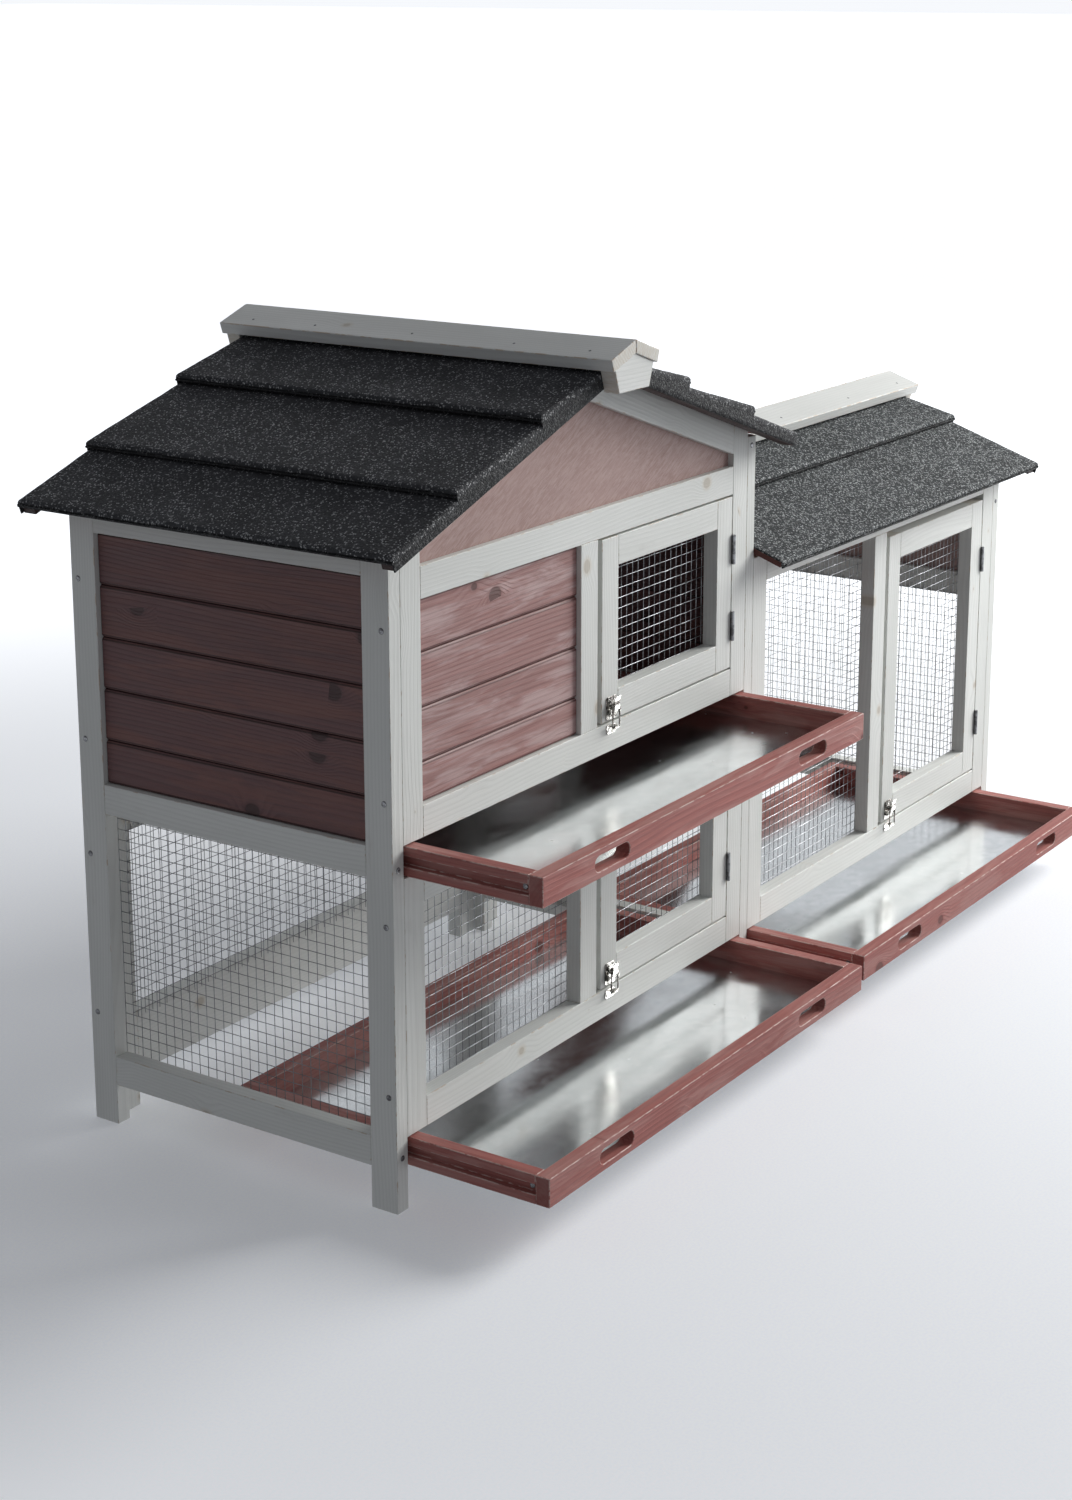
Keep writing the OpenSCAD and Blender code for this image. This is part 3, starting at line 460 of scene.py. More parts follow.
# Painted shade: the roof beams are stained near-black so what shows of them under the felt reads as shadow.
BEAM_SHADE = stained("beam_painted_shade", (0.032, 0.014, 0.012), (0.018, 0.007, 0.006), (0.01, 0.004, 0.004), arris_cutoff=0.7,
                     arris_tint=(0.06, 0.03, 0.025))
RUN_FELT = mineral_felt("run_felt", (0.018, 0.021, 0.023), (0.52, 0.55, 0.55), 0.36, 0.0023)
SHEET = zinc_sheet("zinc_sheet")
WIRE = zinc_wire("zinc_wire")
NICKEL = bright_metal("nickel", (0.55, 0.535, 0.51), (0.10, 0.095, 0.085), 0.16, 0.36)
HINGE_STEEL = bright_metal("hinge_steel", (0.27, 0.275, 0.285), (0.12, 0.12, 0.125), 0.28, 0.48)
FLOOR = floor_paper("floor_paper")


# ---------- mesh helpers ----------

def add_piece(name, mesh, material, body, replaces=()):
    """Links a mesh as a piece that rides on a body and stands for some CAD nodes."""
    piece = bpy.data.objects.new(name, mesh)
    bpy.context.scene.collection.objects.link(piece)
    mesh.materials.clear()
    mesh.materials.append(material)
    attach(piece, body)
    if replaces:
        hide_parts(*replaces)
    return piece


def body_of(node):
    return nodes[node]["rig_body"]


def solids(node):
    """The separate solids of a CAD node, each a bmesh with its flat faces whole."""
    whole = bmesh.new()
    whole.from_mesh(nodes[node].data)
    bmesh.ops.remove_doubles(whole, verts=whole.verts, dist=0.004 * MM)
    bmesh.ops.dissolve_limit(whole, angle_limit=0.01, verts=whole.verts, edges=whole.edges)
    seen, found = set(), []
    for start in whole.verts:
        if start in seen:
            continue
        group, todo = [], [start]
        seen.add(start)
        while todo:
            v = todo.pop()
            group.append(v)
            for edge in v.link_edges:
                other = edge.other_vert(v)
                if other not in seen:
                    seen.add(other)
                    todo.append(other)
        found.append(copy_of(group))
    whole.free()
    return found


def copy_of(verts):
    """A new bmesh with these verts and the faces between them."""
    part = bmesh.new()
    made = {v: part.verts.new(v.co) for v in verts}
    for face in {f for v in verts for f in v.link_faces}:
        part.faces.new([made[v] for v in face.verts])
    part.normal_update()
    return part


def board_axes(part):
    """Unit vectors along a board's grain, across its face and through its thickness."""
    longest = max(part.edges, key=lambda e: e.calc_length())
    along = (longest.verts[1].co - longest.verts[0].co).normalized()
    sides = [f for f in part.faces if abs(f.normal.dot(along)) < 0.5]
    through = max(sides, key=lambda f: f.calc_area()).normal.copy()
    return along, through.cross(along).normalized(), through


SHARP = 0.35


def soften(part, width, keep_sharp=None):
    """Rounds a board's sharp edges and returns the faces that make the rounding."""
    edges = [e for e in part.edges if len(e.link_faces) == 2 and e.calc_face_angle() > SHARP]
    if keep_sharp:
        edges = [e for e in edges if not keep_sharp((e.verts[0].co + e.verts[1].co) / 2)]
    made = bmesh.ops.bevel(part, geom=edges, offset=width, offset_type="OFFSET", segments=3,
                           profile=0.5, affect="EDGES", clamp_overlap=False)
    return set(made["faces"])


def boards(node, material, round_by=0.9 * MM, keep_sharp=None, name=None):
    """Boards in place of a CAD node: the same shapes with rounded arrises, each with its own grain."""
    draw = seeded(node)
    joined = bmesh.new()
    grain = joined.verts.layers.float_vector.new("grain")
    tone = joined.faces.layers.float.new("tone")
    arris = joined.faces.layers.float.new("arris")
    end = joined.faces.layers.float.new("end")
    for part in solids(node):
        along, across, through = board_axes(part)
        rounding = soften(part, round_by, keep_sharp)
        shift = Vector((draw.uniform(0, 20), draw.uniform(-0.02, 0.06), draw.uniform(0, 0.03)))
        middle = sum((v.co for v in part.verts), Vector()) / len(part.verts)
        board_tone = draw.random()
        made = {}
        for v in part.verts:
            new = joined.verts.new(v.co)
            p = v.co - middle
            new[grain] = Vector((p.dot(along), p.dot(across), p.dot(through))) + shift
            made[v] = new
        for face in part.faces:
            new = joined.faces.new([made[v] for v in face.verts])
            new[tone] = board_tone
            new[arris] = float(face in rounding)
            new[end] = float(abs(face.normal.dot(along)) > 0.8 and face not in rounding)
            new.smooth = True
        part.free()
    mesh = bpy.data.meshes.new(name or "v_" + node)
    joined.to_mesh(mesh)
    joined.free()
    piece = add_piece(mesh.name, mesh, material, body_of(node), [node])
    flat = piece.modifiers.new("flat_faces", "WEIGHTED_NORMAL")
    flat.weight = 100
    return piece


def smooth_mesh(name, verts, faces):
    mesh = bpy.data.meshes.new(name)
    mesh.from_pydata([tuple(v) for v in verts], [], faces)
    mesh.polygons.foreach_set("use_smooth", [True] * len(mesh.polygons))
    mesh.update()
    return mesh


# ---------- welded wire mesh ----------

WIRE_PITCH = 12.7 * MM
WIRE_R = 0.46 * MM
WIRE_SIDES = 6
STUB = 4.5 * MM


def wire_tube(points, out_verts, out_faces):
    """Adds a closed tube of wire along nearly straight points."""
    along = (points[-1] - points[0]).normalized()
    side = along.cross(Vector((0.31, 0.57, 0.76))).normalized()
    other = along.cross(side)
    base = len(out_verts)
    for point in points:
        for k in range(WIRE_SIDES):
            a = 2 * math.pi * k / WIRE_SIDES
            out_verts.append(point + (side * math.cos(a) + other * math.sin(a)) * WIRE_R)
    for i in range(len(points) - 1):
        for k in range(WIRE_SIDES):
            n = (k + 1) % WIRE_SIDES
            row, up = base + i * WIRE_SIDES, base + (i + 1) * WIRE_SIDES
            out_faces.append((row + k, row + n, up + n, up + k))
    out_faces.append(tuple(base + k for k in reversed(range(WIRE_SIDES))))
    last = base + (len(points) - 1) * WIRE_SIDES
    out_faces.append(tuple(last + k for k in range(WIRE_SIDES)))


def wire_layer(low, high, run, step, normal, level, draw, out_verts, out_faces):
    """Parallel wires that run along one axis and repeat along another, welded to a layer at level."""
    length, width = high[run] - low[run], high[step] - low[step]
    count = int((width - 2 * STUB) // WIRE_PITCH) + 1
    first = low[step] + (width - (count - 1) * WIRE_PITCH) / 2
    pieces = max(2, round(length / WIRE_PITCH))
    for i in range(count):
        start = low[run] + draw.uniform(-0.4, 1.6) * MM
        stop = high[run] - draw.uniform(-0.4, 1.6) * MM
        bow = draw.uniform(-0.5, 0.5) * MM
        points = []
        for k in range(pieces + 1):
            share = k / pieces
            point = Vector((0, 0, 0))
            point[run] = start + (stop - start) * share
            point[step] = first + i * WIRE_PITCH + bow * math.sin(math.pi * share) + draw.gauss(0, 0.09) * MM
            point[normal] = level + draw.gauss(0, 0.04) * MM
            points.append(point)
        wire_tube(points, out_verts, out_faces)


def panels(node):
    """The low and high corners of each mesh panel of a node, from the reach of its cross wires."""
    low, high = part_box(node)
    normal = 0 if high.x - low.x < high.y - low.y else 1
    found = set()
    for part in solids(node):
        rise = reach(part, Vector((0, 0, 1)))
        if rise[1] - rise[0] < WIRE_PITCH:
            axis = Vector((normal, 1 - normal, 0))
            found.add(tuple(round(place, 4) for place in reach(part, axis)))
        part.free()
    corners = []
    for start, stop in sorted(found):
        a, b = low.copy(), high.copy()
        a[1 - normal], b[1 - normal] = start, stop
        corners.append((a, b))
    return corners


def wire_mesh(node, facing):
    """Welded mesh in place of a CAD mesh node, its cross wires on the side that faces out."""
    draw = seeded(node)
    verts, faces = [], []
    for low, high in panels(node):
        normal = min(range(3), key=lambda i: high[i] - low[i])
        level_run = 1 - normal
        middle = (low[normal] + high[normal]) / 2
        apart = WIRE_R * 0.8
        wire_layer(low, high, 2, level_run, normal, middle - facing * apart, draw, verts, faces)
        wire_layer(low, high, level_run, 2, normal, middle + facing * apart, draw, verts, faces)
    mesh = smooth_mesh("v_" + node, verts, faces)
    add_piece(mesh.name, mesh, WIRE, body_of(node), [node])


# ---------- roof felt ----------

FELT_ROLL = 4 * MM
FELT_STEP = 6 * MM
FELT_THICK = 1.7 * MM
FELT_INSET = 0.35 * MM
FLAP_LAYER = 0.12 * MM
BATTEN_COVER = 9 * MM
LEG_STEPS = 4
ROLL_STEPS = 5
RIM_WIDTH = 16 * MM


def wrapped(first, last, wrap_first, wrap_last):
    """Stations along a sheet that rolls over its ends: place, drop within the roll, share of the leg."""
    def over(edge, inward):
        leg = [(edge, FELT_ROLL, 1 - k / LEG_STEPS) for k in range(LEG_STEPS)]
        roll = []
        for k in range(ROLL_STEPS):
            a = math.pi / 2 * k / ROLL_STEPS
            roll.append((edge + inward * FELT_ROLL * (1 - math.cos(a)), FELT_ROLL * (1 - math.sin(a)), 0.0))
        return leg + roll

    start = over(first, 1) if wrap_first else []
    stop = over(last, -1)[::-1] if wrap_last else []
    a = first + (FELT_ROLL if wrap_first else 0)
    b = last - (FELT_ROLL if wrap_last else 0)
    count = max(2, round((b - a) / FELT_STEP))
    return start + [(a + (b - a) * k / count, 0.0, 0.0) for k in range(count + 1)] + stop


def reach(part, axis):
    """How far a solid reaches along an axis, low and high."""
    places = [v.co.dot(axis) for v in part.verts]
    return min(places), max(places)


def course_normal(part):
    """The normal of a course's top face."""
    return max(part.faces, key=lambda f: f.calc_area() if f.normal.z > 0.5 else 0).normal.copy()


def felt_sheet(part, order, roof_normal, roof_level, ridge_axis, wrap_ends, verts, faces, rims, hang_shade):
    """One course of felt: a sheet rolled over its lower edge, and over its free ends down past the batten."""
    normal = course_normal(part)
    along = Vector((0, 0, 0))
    along[ridge_axis] = 1
    up = normal.cross(along)
    up = up if up.z > 0 else -up
    (l0, l1), (u0, u1), (n0, n1) = reach(part, along), reach(part, up), reach(part, normal)
    n1 -= FELT_INSET
    inset = FELT_INSET - FLAP_LAYER * order
    rows = wrapped(u0 + FELT_INSET, u1, True, False)
    columns = wrapped(l0 + inset, l1 - inset, *wrap_ends)
    index = {}
    for i, (u, drop_u, leg_u) in enumerate(rows):
        flap = ((up * u + normal * n1).dot(roof_normal) - roof_level) / normal.dot(roof_normal)
        for j, (l, drop_l, leg_l) in enumerate(columns):
            if leg_u and leg_l:
                continue
            depth = n1 - n0 - FELT_INSET if leg_u else flap
            drop = max(drop_u, drop_l) + max(leg_u, leg_l) * (depth - FELT_ROLL)
            point = up * u + along * l + normal * (n1 - drop)
            wave = noise.noise(point * 22) * 0.45 + noise.noise(point * 95) * 0.30
            lift = (wave - 0.35) * MM
            if leg_u:
                point -= up * abs(lift) * 0.4
            elif leg_l:
                point += along * abs(lift) * (0.25 if l > (l0 + l1) / 2 else -0.25)
            else:
                point += normal * lift
            index[i, j] = len(verts)
            verts.append(point)
            ends = [abs(l - e) for e, wrap in zip((l0, l1), wrap_ends) if wrap]
            rims.append(max(0.0, 1 - min([abs(u - u0) * 1.6] + ends) / RIM_WIDTH))
            # How much painted shade each point gets: full on the end legs, less on the eave leg.
            hang_shade.append(max(leg_l, 0.6 * leg_u))
    for i in range(len(rows) - 1):
        for j in range(len(columns) - 1):
            corners = [(i, j), (i, j + 1), (i + 1, j + 1), (i + 1, j)]
            if all(c in index for c in corners):
                faces.append(tuple(index[c] for c in corners))


def felt_roof(node, material, ridge_axis, wrap_ends):
    """All the felt courses of a roof, in place of its CAD node."""
    verts, faces, rims, hang_shade = [], [], [], []
    slopes = {}
    for part in solids(node):
        slopes.setdefault(course_normal(part)[1 - ridge_axis] > 0, []).append(part)
    for courses in slopes.values():
        courses.sort(key=lambda part: min(v.co.z for v in part.verts))
        roof_normal = course_normal(courses[0])
        roof_level = reach(courses[0], roof_normal)[0] - BATTEN_COVER
        for order, part in enumerate(courses):
            felt_sheet(part, order, roof_normal, roof_level, ridge_axis, wrap_ends, verts, faces, rims, hang_shade)
            part.free()
    mesh = smooth_mesh("v_" + node, verts, faces)
    mesh.attributes.new("rim", "FLOAT", "POINT").data.foreach_set("value", rims)
    mesh.attributes.new("hang_shade", "FLOAT", "POINT").data.foreach_set("value", hang_shade)
    work = bmesh.new()
    work.from_mesh(mesh)
    bmesh.ops.recalc_face_normals(work, faces=work.faces)
    for face in work.faces:
        if face.normal.z < -0.2:
            face.normal_flip()
    work.to_mesh(mesh)
    work.free()
    piece = add_piece(mesh.name, mesh, material, body_of(node), [node])
    thick = piece.modifiers.new("thickness", "SOLIDIFY")
    thick.thickness = FELT_THICK
    thick.offset = -1


# ---------- tray sheets ----------

SHEET_CELL = 14 * MM
SHEET_WAVE = 0.5 * MM


def tray_sheet(node):
    """A galvanised sheet with the slight waves of thin metal, flat where the boards hold it."""
    low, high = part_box(node)
    nx = round((high.x - low.x) / SHEET_CELL)
    ny = round((high.y - low.y) / SHEET_CELL)
    verts = []
    for level in (high.z, low.z):
        for j in range(ny + 1):
            for i in range(nx + 1):
                x = low.x + (high.x - low.x) * i / nx
                y = low.y + (high.y - low.y) * j / ny
                held = min(i, nx - i, j, ny - j) / 3
                wave = noise.noise(Vector((x * 5, y * 7, low.z * 9))) + 0.4 * noise.noise(Vector((x * 14, y * 17, 3)))
                verts.append((x, y, level + wave * SHEET_WAVE * min(1, held)))
    row, layer = nx + 1, (nx + 1) * (ny + 1)
    faces = []
    for j in range(ny):
        for i in range(nx):
            a = j * row + i
            faces.append((a, a + 1, a + row + 1, a + row))
            faces.append((layer + a + row, layer + a + row + 1, layer + a + 1, layer + a))
    ring = [i for i in range(nx)] + [nx + j * row for j in range(ny)]
    ring += [ny * row + i for i in range(nx, 0, -1)] + [j * row for j in range(ny, 0, -1)]
    for k, a in enumerate(ring):
        b = ring[(k + 1) % len(ring)]
        faces.append((a, layer + a, layer + b, b))
    mesh = smooth_mesh("v_" + node, verts, faces)
    piece = add_piece(mesh.name, mesh, SHEET, body_of(node), [node])
    piece.modifiers.new("flat_faces", "WEIGHTED_NORMAL")


# ---------- screws, nails, latches ----------

HEAD_RINGS = 9
HEAD_SIDES = 40


def screw_head(verts, faces, centre, axis, radius, height, turn, slot=0.2, recess=0.55):
    """A domed cross-recessed head standing on a face at centre and pointing along axis."""
    axis = axis.normalized()
    side = axis.orthogonal().normalized()
    side = Matrix.Rotation(turn, 3, axis) @ side
    other = axis.cross(side)
    base = len(verts)
    for i in range(HEAD_RINGS + 1):
        share = i / HEAD_RINGS
        r = radius * share
        dome = height * math.sqrt(max(0.0, 1 - share ** 3.2))
        for k in range(HEAD_SIDES):
            a = 2 * math.pi * k / HEAD_SIDES
            x, y = r * math.cos(a), r * math.sin(a)
            arm = min(abs(x), abs(y)) < slot * radius and max(abs(x), abs(y)) < recess * radius
            lift = dome - (0.55 * height if arm else 0)
            verts.append(centre + side * x + other * y + axis * lift)
    for i in range(HEAD_RINGS):
        for k in range(HEAD_SIDES):
            n = (k + 1) % HEAD_SIDES
            row, out = base + i * HEAD_SIDES, base + (i + 1) * HEAD_SIDES
            if i == 0:
                faces.append((row, out + k, out + n))
            else:
                faces.append((row + k, out + k, out + n, row + n))
    rim = base + HEAD_RINGS * HEAD_SIDES
    faces.append(tuple(rim + k for k in range(HEAD_SIDES)))


def clean_mesh(name, verts, faces):
    """A smooth mesh with its doubled points merged and its normals facing out."""
    mesh = smooth_mesh(name, verts, faces)
    work = bmesh.new()
    work.from_mesh(mesh)
    bmesh.ops.remove_doubles(work, verts=work.verts, dist=0.001 * MM)
    loose = [v for v in work.verts if not v.link_faces]
    bmesh.ops.delete(work, geom=loose, context="VERTS")
    bmesh.ops.recalc_face_normals(work, faces=work.faces)
    work.to_mesh(mesh)
    work.free()
    return mesh


def panel_screws():
    """The screw heads of the side panels, each where its CAD head stands."""
    draw = seeded("screws")
    verts, faces = [], []
    for part in solids("screws"):
        low = Vector([min(v.co[i] for v in part.verts) for i in range(3)])
        high = Vector([max(v.co[i] for v in part.verts) for i in range(3)])
        part.free()
        thin = min(range(3), key=lambda i: high[i] - low[i])
        middle = (low + high) / 2
        outward = -1 if thin == 1 or middle.x < 0 else 1
        axis = Vector((0, 0, 0))
        axis[thin] = outward
        centre = middle.copy()
        centre[thin] = low[thin] if outward > 0 else high[thin]
        radius = max(high - low) / 2
        screw_head(verts, faces, centre, axis, radius, high[thin] - low[thin], draw.uniform(0, 1.5))
    mesh = clean_mesh("v_screws", verts, faces)
    add_piece(mesh.name, mesh, HINGE_STEEL, "hutch", ["screws"])


def tray_screws(tray):
    """A screw in each side groove of a tray, just behind its front board."""
    draw = seeded(tray)
    low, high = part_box(tray)
    verts, faces = [], []
    depth, back, up, radius = 8 * MM, 27 * MM, 17 * MM, 3.4 * MM
    for x, outward in ((low.x + depth, -1), (high.x - depth, 1)):
        centre = Vector((x, low.y + back, low.z + up))
        screw_head(verts, faces, centre, Vector((outward, 0, 0)), radius, 1.1 * MM, draw.uniform(0, 1.5))
    mesh = clean_mesh("v_" + tray + "_screws", verts, faces)
    add_piece(mesh.name, mesh, HINGE_STEEL, body_of(tray))


def cap_nails():
    """Small nail heads along both ridge caps, sunk into each board."""
    draw = seeded("nails")
    verts, faces = [], []
    for node in ("house_ridge_cap", "run_ridge_cap"):
        for part in solids(node):
            top = max((f for f in part.faces if f.normal.z > 0.8), key=lambda f: f.calc_area())
            normal, middle = top.normal.copy(), top.calc_center_median()
            along = board_axes(part)[0]
            half = max(e.calc_length() for e in part.edges) / 2
            slope = normal.cross(along)
            places = [-half + 42 * MM, -half / 2, 0, half / 2, half - 42 * MM]
            for place in places:
                for offset in (-9 * MM, 9 * MM):
                    if abs(place) < half * 0.9 and offset > 0:
                        continue
                    at = middle + along * (place + draw.gauss(0, 2) * MM) + slope * (offset + draw.gauss(0, 1) * MM)
                    screw_head(verts, faces, at, normal, 1.7 * MM, 0.45 * MM, 0, slot=0.0)
            part.free()
    mesh = clean_mesh("v_cap_nails", verts, faces)
    add_piece(mesh.name, mesh, HINGE_STEEL, "hutch")


def strip(path, thick, x0, x1):
    """A bent strip of sheet metal as a bmesh: a path in y and z, mm, given a thickness and run from x0 to x1."""
    points = [Vector((0, y, z)) for y, z in path]
    left, right = [], []
    for i, point in enumerate(points):
        before, after = points[max(0, i - 1)], points[min(len(points) - 1, i + 1)]
        tangent = (after - before).normalized()
        across = Vector((0, -tangent.z, tangent.y)) * thick / 2
        left.append(point + across)
        right.append(point - across)
    outline = left + right[::-1]
    part = bmesh.new()
    rings = [[part.verts.new(Vector((x, p.y, p.z))) for p in outline] for x in (x0, x1)]
    n = len(outline)
    for k in range(n):
        m = (k + 1) % n
        part.faces.new((rings[0][k], rings[0][m], rings[1][m], rings[1][k]))
    count = len(points)
    for ring in rings:
        for k in range(count - 1):
            part.faces.new((ring[k], ring[k + 1], ring[n - 2 - k], ring[n - 1 - k]))
    bmesh.ops.recalc_face_normals(part, faces=part.faces)
    return part


def rounded_plate(x0, x1, z0, z1, radius, y0, y1):
    """A plate with round corners, as a bmesh, in mm."""
    corners = [(x1 - radius, z1 - radius, 0), (x0 + radius, z1 - radius, 90),
               (x0 + radius, z0 + radius, 180), (x1 - radius, z0 + radius, 270)]
    outline = []
    for cx, cz, start in corners:
        for step in range(7):
            a = math.radians(start + 15 * step)
            outline.append((cx + radius * math.cos(a), cz + radius * math.sin(a)))
    part = bmesh.new()
    rings = [[part.verts.new((x, y, z)) for x, z in outline] for y in (y0, y1)]
    n = len(outline)
    for k in range(n):
        m = (k + 1) % n
        part.faces.new((rings[0][k], rings[0][m], rings[1][m], rings[1][k]))
    part.faces.new(rings[0])
    part.faces.new(rings[1][::-1])
    bmesh.ops.recalc_face_normals(part, faces=part.faces)
    return part


def round_tube(points, radius, closed, sides=14):
    """A tube along a path of points, as a bmesh, in mm."""
    part = bmesh.new()
    n = len(points)
    rings = []
    normal = Vector((0, -1, 0))
    for i, point in enumerate(points):
        before = points[i - 1] if closed or i else point
        after = points[(i + 1) % n] if closed or i < n - 1 else point
        tangent = (after - before).normalized()
        side = (normal - tangent * normal.dot(tangent)).normalized()
        other = tangent.cross(side)
        ring = []
        for k in range(sides):
            a = 2 * math.pi * k / sides
            ring.append(part.verts.new(point + (side * math.cos(a) + other * math.sin(a)) * radius))
        rings.append(ring)
    for i in range(n if closed else n - 1):
        a, b = rings[i], rings[(i + 1) % n]
        for k in range(sides):
            m = (k + 1) % sides
            part.faces.new((a[k], a[m], b[m], b[k]))
    if not closed:
        part.faces.new(rings[0][::-1])
        part.faces.new(rings[-1])
    bmesh.ops.recalc_face_normals(part, faces=part.faces)
    return part


def metal_piece(name, parts, pivot, body, replaces):
    """Joins bmeshes drawn in mm round a pivot into one nickel piece."""
    verts, faces = [], []
    for part, edge in parts:
        if edge:
            sharp = [e for e in part.edges if e.is_manifold and e.calc_face_angle() > 0.6]
            bmesh.ops.bevel(part, geom=sharp, offset=edge, segments=2, profile=0.5,
                            affect="EDGES", clamp_overlap=True)
        part.verts.index_update()
        base = len(verts)
        verts += [pivot + v.co * MM for v in part.verts]
        faces += [tuple(base + v.index for v in f.verts) for f in part.faces]
        part.free()
    mesh = smooth_mesh(name, verts, faces)
    piece = add_piece(name, mesh, NICKEL, body, replaces)
    flat = piece.modifiers.new("flat_faces", "WEIGHTED_NORMAL")
    flat.weight = 100
    return piece


# Toggle latch, in mm round its lever pivot: x across, -y out from the door, z up
LATCH_HALF = 11
DOOR_FACE = 5.5
PLATE = 1.2
LINK_Y, LINK_Z = -2.4, 5.0
BAIL_HALF, BAIL_DROP, BAIL_R = 7.5, 26, 1.0
LEVER_HALF = 5.5


def plate_screws(places, y):
    """Small round-headed screws on a latch plate, as one bmesh in mm."""
    verts, faces = [], []
    for x, z in places:
        screw_head(verts, faces, Vector((x, y, z)), Vector((0, -1, 0)), 1.9, 0.8, x, slot=0.22, recess=0.7)
    mesh = clean_mesh("plate_screws", verts, faces)
    part = bmesh.new()
    part.from_mesh(mesh)
    bpy.data.meshes.remove(mesh)
    return part


def latch_base(door, pivot):
    face = DOOR_FACE - PLATE
    parts = [(rounded_plate(-LATCH_HALF, LATCH_HALF, -11, 17, 3, face, DOOR_FACE), 0.3)]
    for side in (-1, 1):
        x0, x1 = sorted((side * LATCH_HALF, side * (LATCH_HALF - PLATE)))
        ear = [(face + 0.4, -4), (0.5, -4), (-1.6, -3), (-2.5, 0), (-1.6, 3), (0.5, 4), (face + 0.4, 4)]
        part = bmesh.new()
        rings = [[part.verts.new((x, y, z)) for y, z in ear] for x in (x0, x1)]
        for k in range(len(ear)):
            m = (k + 1) % len(ear)
            part.faces.new((rings[0][k], rings[0][m], rings[1][m], rings[1][k]))
        part.faces.new(rings[0][::-1])
        part.faces.new(rings[1])
        bmesh.ops.recalc_face_normals(part, faces=part.faces)
        parts.append((part, 0.25))
    reach = LATCH_HALF + 0.4
    pin = [Vector((x, 0, 0)) for x in (-reach, reach)]
    parts.append((round_tube(pin, 1.0, False, 20), 0.2))
    parts.append((plate_screws([(-6.5, 13), (6.5, 13)], face), 0))
    metal_piece(f"v_{door}_latch_base", parts, pivot, door + "_door", [door + "_latch_base"])


def latch_lever(door, pivot):
    """A pressed lever: an eye round the pin, a flat back, and a finger lip curled outwards."""
    eye = []
    for step in range(9):
        a = math.radians(100 + 30 * step)
        eye.append((1.9 * math.cos(a), 1.9 * math.sin(a)))
    face = [(-2.6, 1.6), (-3.4, 3.4), (-3.9, 6), (-4.0, 9), (-3.9, 12), (-4.1, 15), (-4.9, 17.3), (-6.0, 18.6)]
    front = strip(face, 0.9, -LEVER_HALF, LEVER_HALF)
    collar = strip(eye, 0.8, -LEVER_HALF + 0.8, LEVER_HALF - 0.8)
    parts = [(front, 0.22), (collar, 0.15)]
    for side in (-1, 1):
        x0, x1 = sorted((side * LEVER_HALF, side * (LEVER_HALF - 0.8)))
        cheek = [(-1.4, -0.6), (-1.2, 3.5), (-1.6, 8), (-2.6, 13)]
        parts.append((strip(cheek, 3.0, x0, x1), 0.2))
    metal_piece(f"v_{door}_latch_lever", parts, pivot, door + "_lever", [door + "_latch_lever"])


def latch_bail(door, pivot):
    """A loop of wire with bent corners: its top bar turns in the lever and its bottom bar holds the catch."""
    path = []
    corners = [(BAIL_HALF, LINK_Z, 1.6, 0), (-BAIL_HALF, LINK_Z, 1.6, 90),
               (-BAIL_HALF, LINK_Z - BAIL_DROP, 2.6, 180), (BAIL_HALF, LINK_Z - BAIL_DROP, 2.6, 270)]
    for x, z, radius, start in corners:
        cx = x - math.copysign(radius, x)
        cz = z - radius if start < 180 else z + radius
        for step in range(7):
            a = math.radians(start + 15 * step)
            path.append(Vector((cx + radius * math.cos(a), LINK_Y, cz + radius * math.sin(a))))
    parts = [(round_tube(path, BAIL_R, True), 0)]
    metal_piece(f"v_{door}_latch_bail", parts, pivot, door + "_bail", [door + "_latch_bail"])


def latch_catch(pivots):
    """The three catches: a plate on the rail with two screws and a bent lip over the bail's lower bar."""
    parts = []
    lip_z = LINK_Z - BAIL_DROP + BAIL_R + 0.3
    face = DOOR_FACE - PLATE
    for pivot in pivots:
        shift = Matrix.Translation((pivot - pivots[0]) / MM)
        plate = rounded_plate(-LATCH_HALF + 1, LATCH_HALF - 1, lip_z - 9, lip_z + 2, 2.5, face, DOOR_FACE)
        bend = [(face + 0.5, lip_z + 0.7), (1.5, lip_z + 0.75), (-1.5, lip_z + 0.75), (-3.3, lip_z + 1.0), (-4.0, lip_z + 2.2)]
        lip = strip(bend, 1.2, -5.5, 5.5)
        screws = plate_screws([(-7, lip_z - 5), (7, lip_z - 5)], face)
        for part, edge in ((plate, 0.3), (lip, 0.2), (screws, 0)):
            part.transform(shift)
            parts.append((part, edge))
    metal_piece("v_latch_catches", parts, pivots[0], "hutch", ["latch_catches"])


# ---------- the hutch ----------

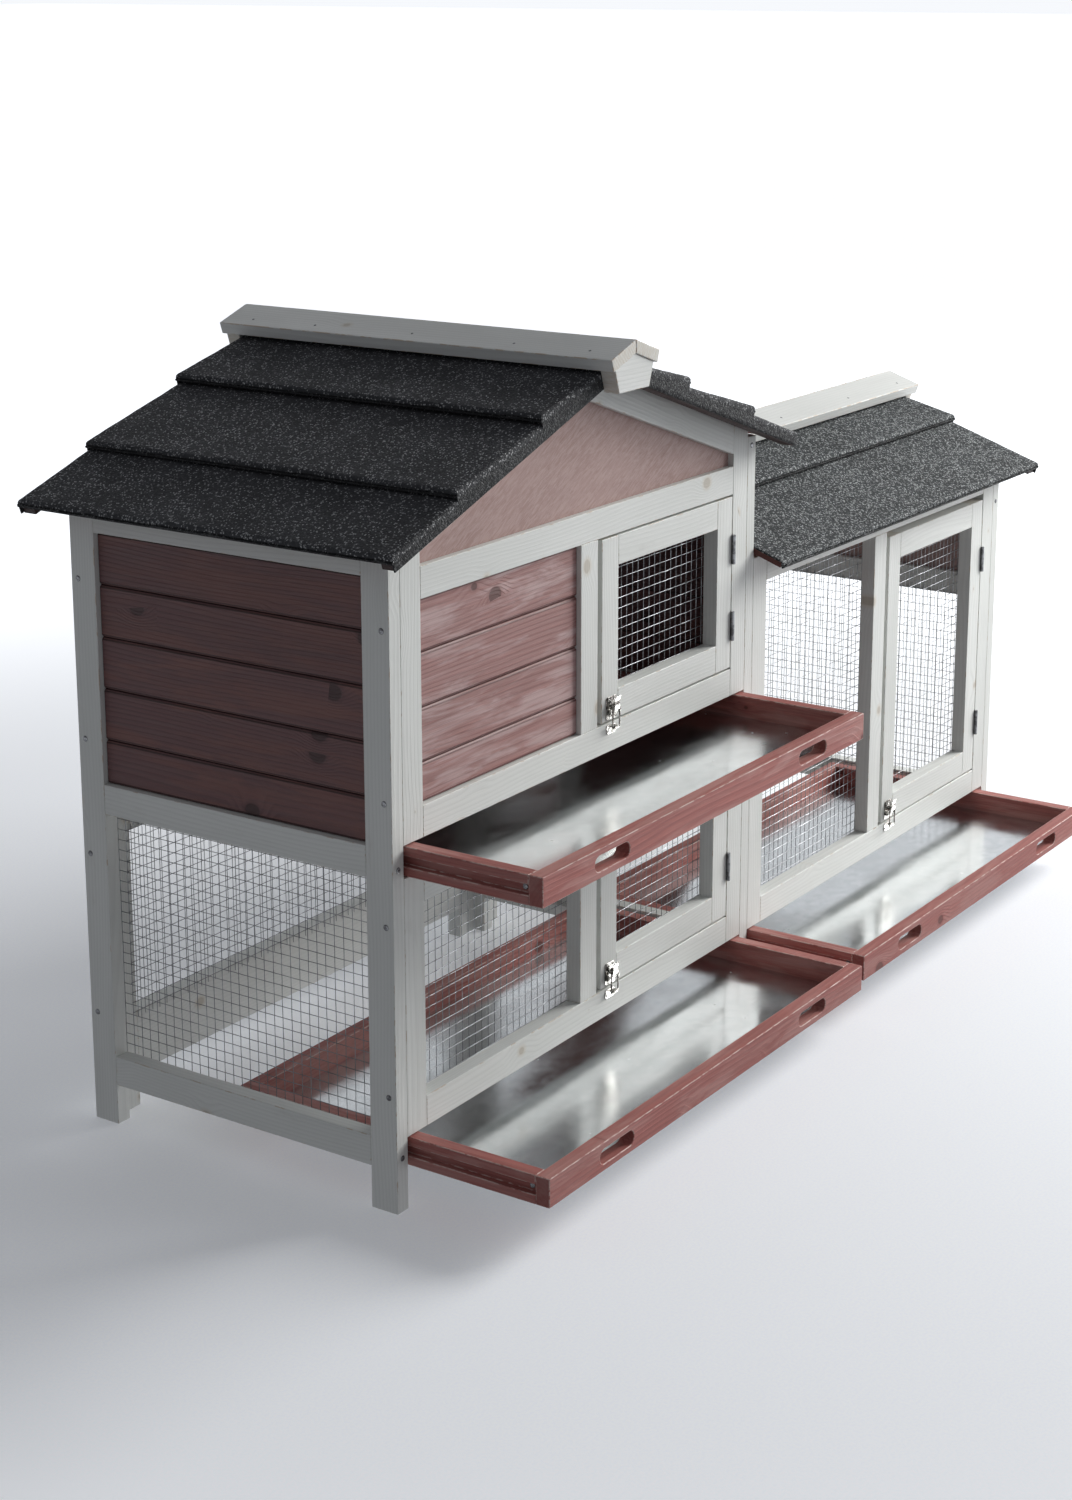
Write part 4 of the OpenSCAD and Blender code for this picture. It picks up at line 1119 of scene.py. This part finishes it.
def build_wood():
    white_nodes = ["left_panel_frame", "right_panel_frame", "upper_front_frame", "lower_front_frame",
                   "house_back_frame", "run_front_frame", "run_back_frame", "run_side_frame", "tray_runners"]
    for node in white_nodes + [door + "_door_frame" for door in DOORS]:
        boards(node, WHITE)
    boards("house_ridge_cap", CAP_WHITE, 1.2 * MM)
    boards("run_ridge_cap", CAP_WHITE, 1.2 * MM)
    boards("ridge_blocks", CAP_WHITE, 1.0 * MM)
    for node in ("left_planks", "right_planks", "back_planks"):
        boards(node, WALL_STAIN, 1.0 * MM)
    # The front planks take the lighter copy of the stain, with its painted sheen.
    boards("upper_front_planks", FRONT_STAIN_SHEEN, 1.0 * MM)
    for node in ("front_gable_board", "back_gable_board", "run_gable_board"):
        boards(node, PLY, 0.3 * MM)
    for node in ("house_roof_boards", "run_roof_boards", "ramp"):
        boards(node, ROOF_STAIN, 0.8 * MM)
    # The beams' near-black is painted shade under the felt.
    boards("roof_beams", BEAM_SHADE, 0.8 * MM)
    for door in DOORS:
        low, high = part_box(door + "_tray_sheet")
        kerf = lambda p: low.z - 0.3 * MM < p.z < high.z + 0.3 * MM
        boards(door + "_tray_frame", TRAY_STAIN, 1.0 * MM, keep_sharp=kerf)


def build_wire():
    for node in ("lower_front_mesh", "run_front_mesh", "upper_door_mesh", "lower_door_mesh", "run_door_mesh"):
        wire_mesh(node, -1)
    wire_mesh("left_mesh", -1)
    wire_mesh("run_side_mesh", 1)
    wire_mesh("house_back_mesh", 1)
    wire_mesh("run_back_mesh", 1)


def build_metal():
    for tray in DOORS:
        tray_sheet(tray + "_tray_sheet")
        tray_screws(tray + "_tray_frame")
    panel_screws()
    cap_nails()
    pivots = [Vector(joints[door + "_lever_turn"]["pos_m"]) for door in DOORS]
    for door, pivot in zip(DOORS, pivots):
        latch_base(door, pivot)
        latch_lever(door, pivot)
        latch_bail(door, pivot)
    latch_catch(pivots)
    for node in ["hinge_leaves", "hinge_pins"] + [door + "_door_hinges" for door in DOORS]:
        nodes[node].data.materials.clear()
        nodes[node].data.materials.append(HINGE_STEEL)


def build_floor():
    """A large floor that the hutch stands on."""
    verts, faces, cells, half = [], [], 8, 60.0
    for j in range(cells + 1):
        for i in range(cells + 1):
            verts.append((half * (2 * i / cells - 1), half * (2 * j / cells - 1), 0))
    for j in range(cells):
        for i in range(cells):
            a = j * (cells + 1) + i
            faces.append((a, a + 1, a + cells + 2, a + cells + 1))
    floor = bpy.data.objects.new("floor", smooth_mesh("floor", verts, faces))
    floor.data.materials.append(FLOOR)
    floor.location.z = cad_box[0].z - 0.2 * MM
    floor.visible_diffuse = False
    bpy.context.scene.collection.objects.link(floor)


bpy.context.scene.view_settings.view_transform = "Standard"
make_camera()
make_world()
area_light("key", Vector((0.85, -0.42, 0.42)), 4.5, 2.4, 265, (1.0, 0.995, 0.98))
build_floor()
build_wood()
build_wire()
felt_roof("house_roof_felt", FELT, 1, (True, True))
felt_roof("run_roof_felt", RUN_FELT, 0, (False, True))
build_metal()
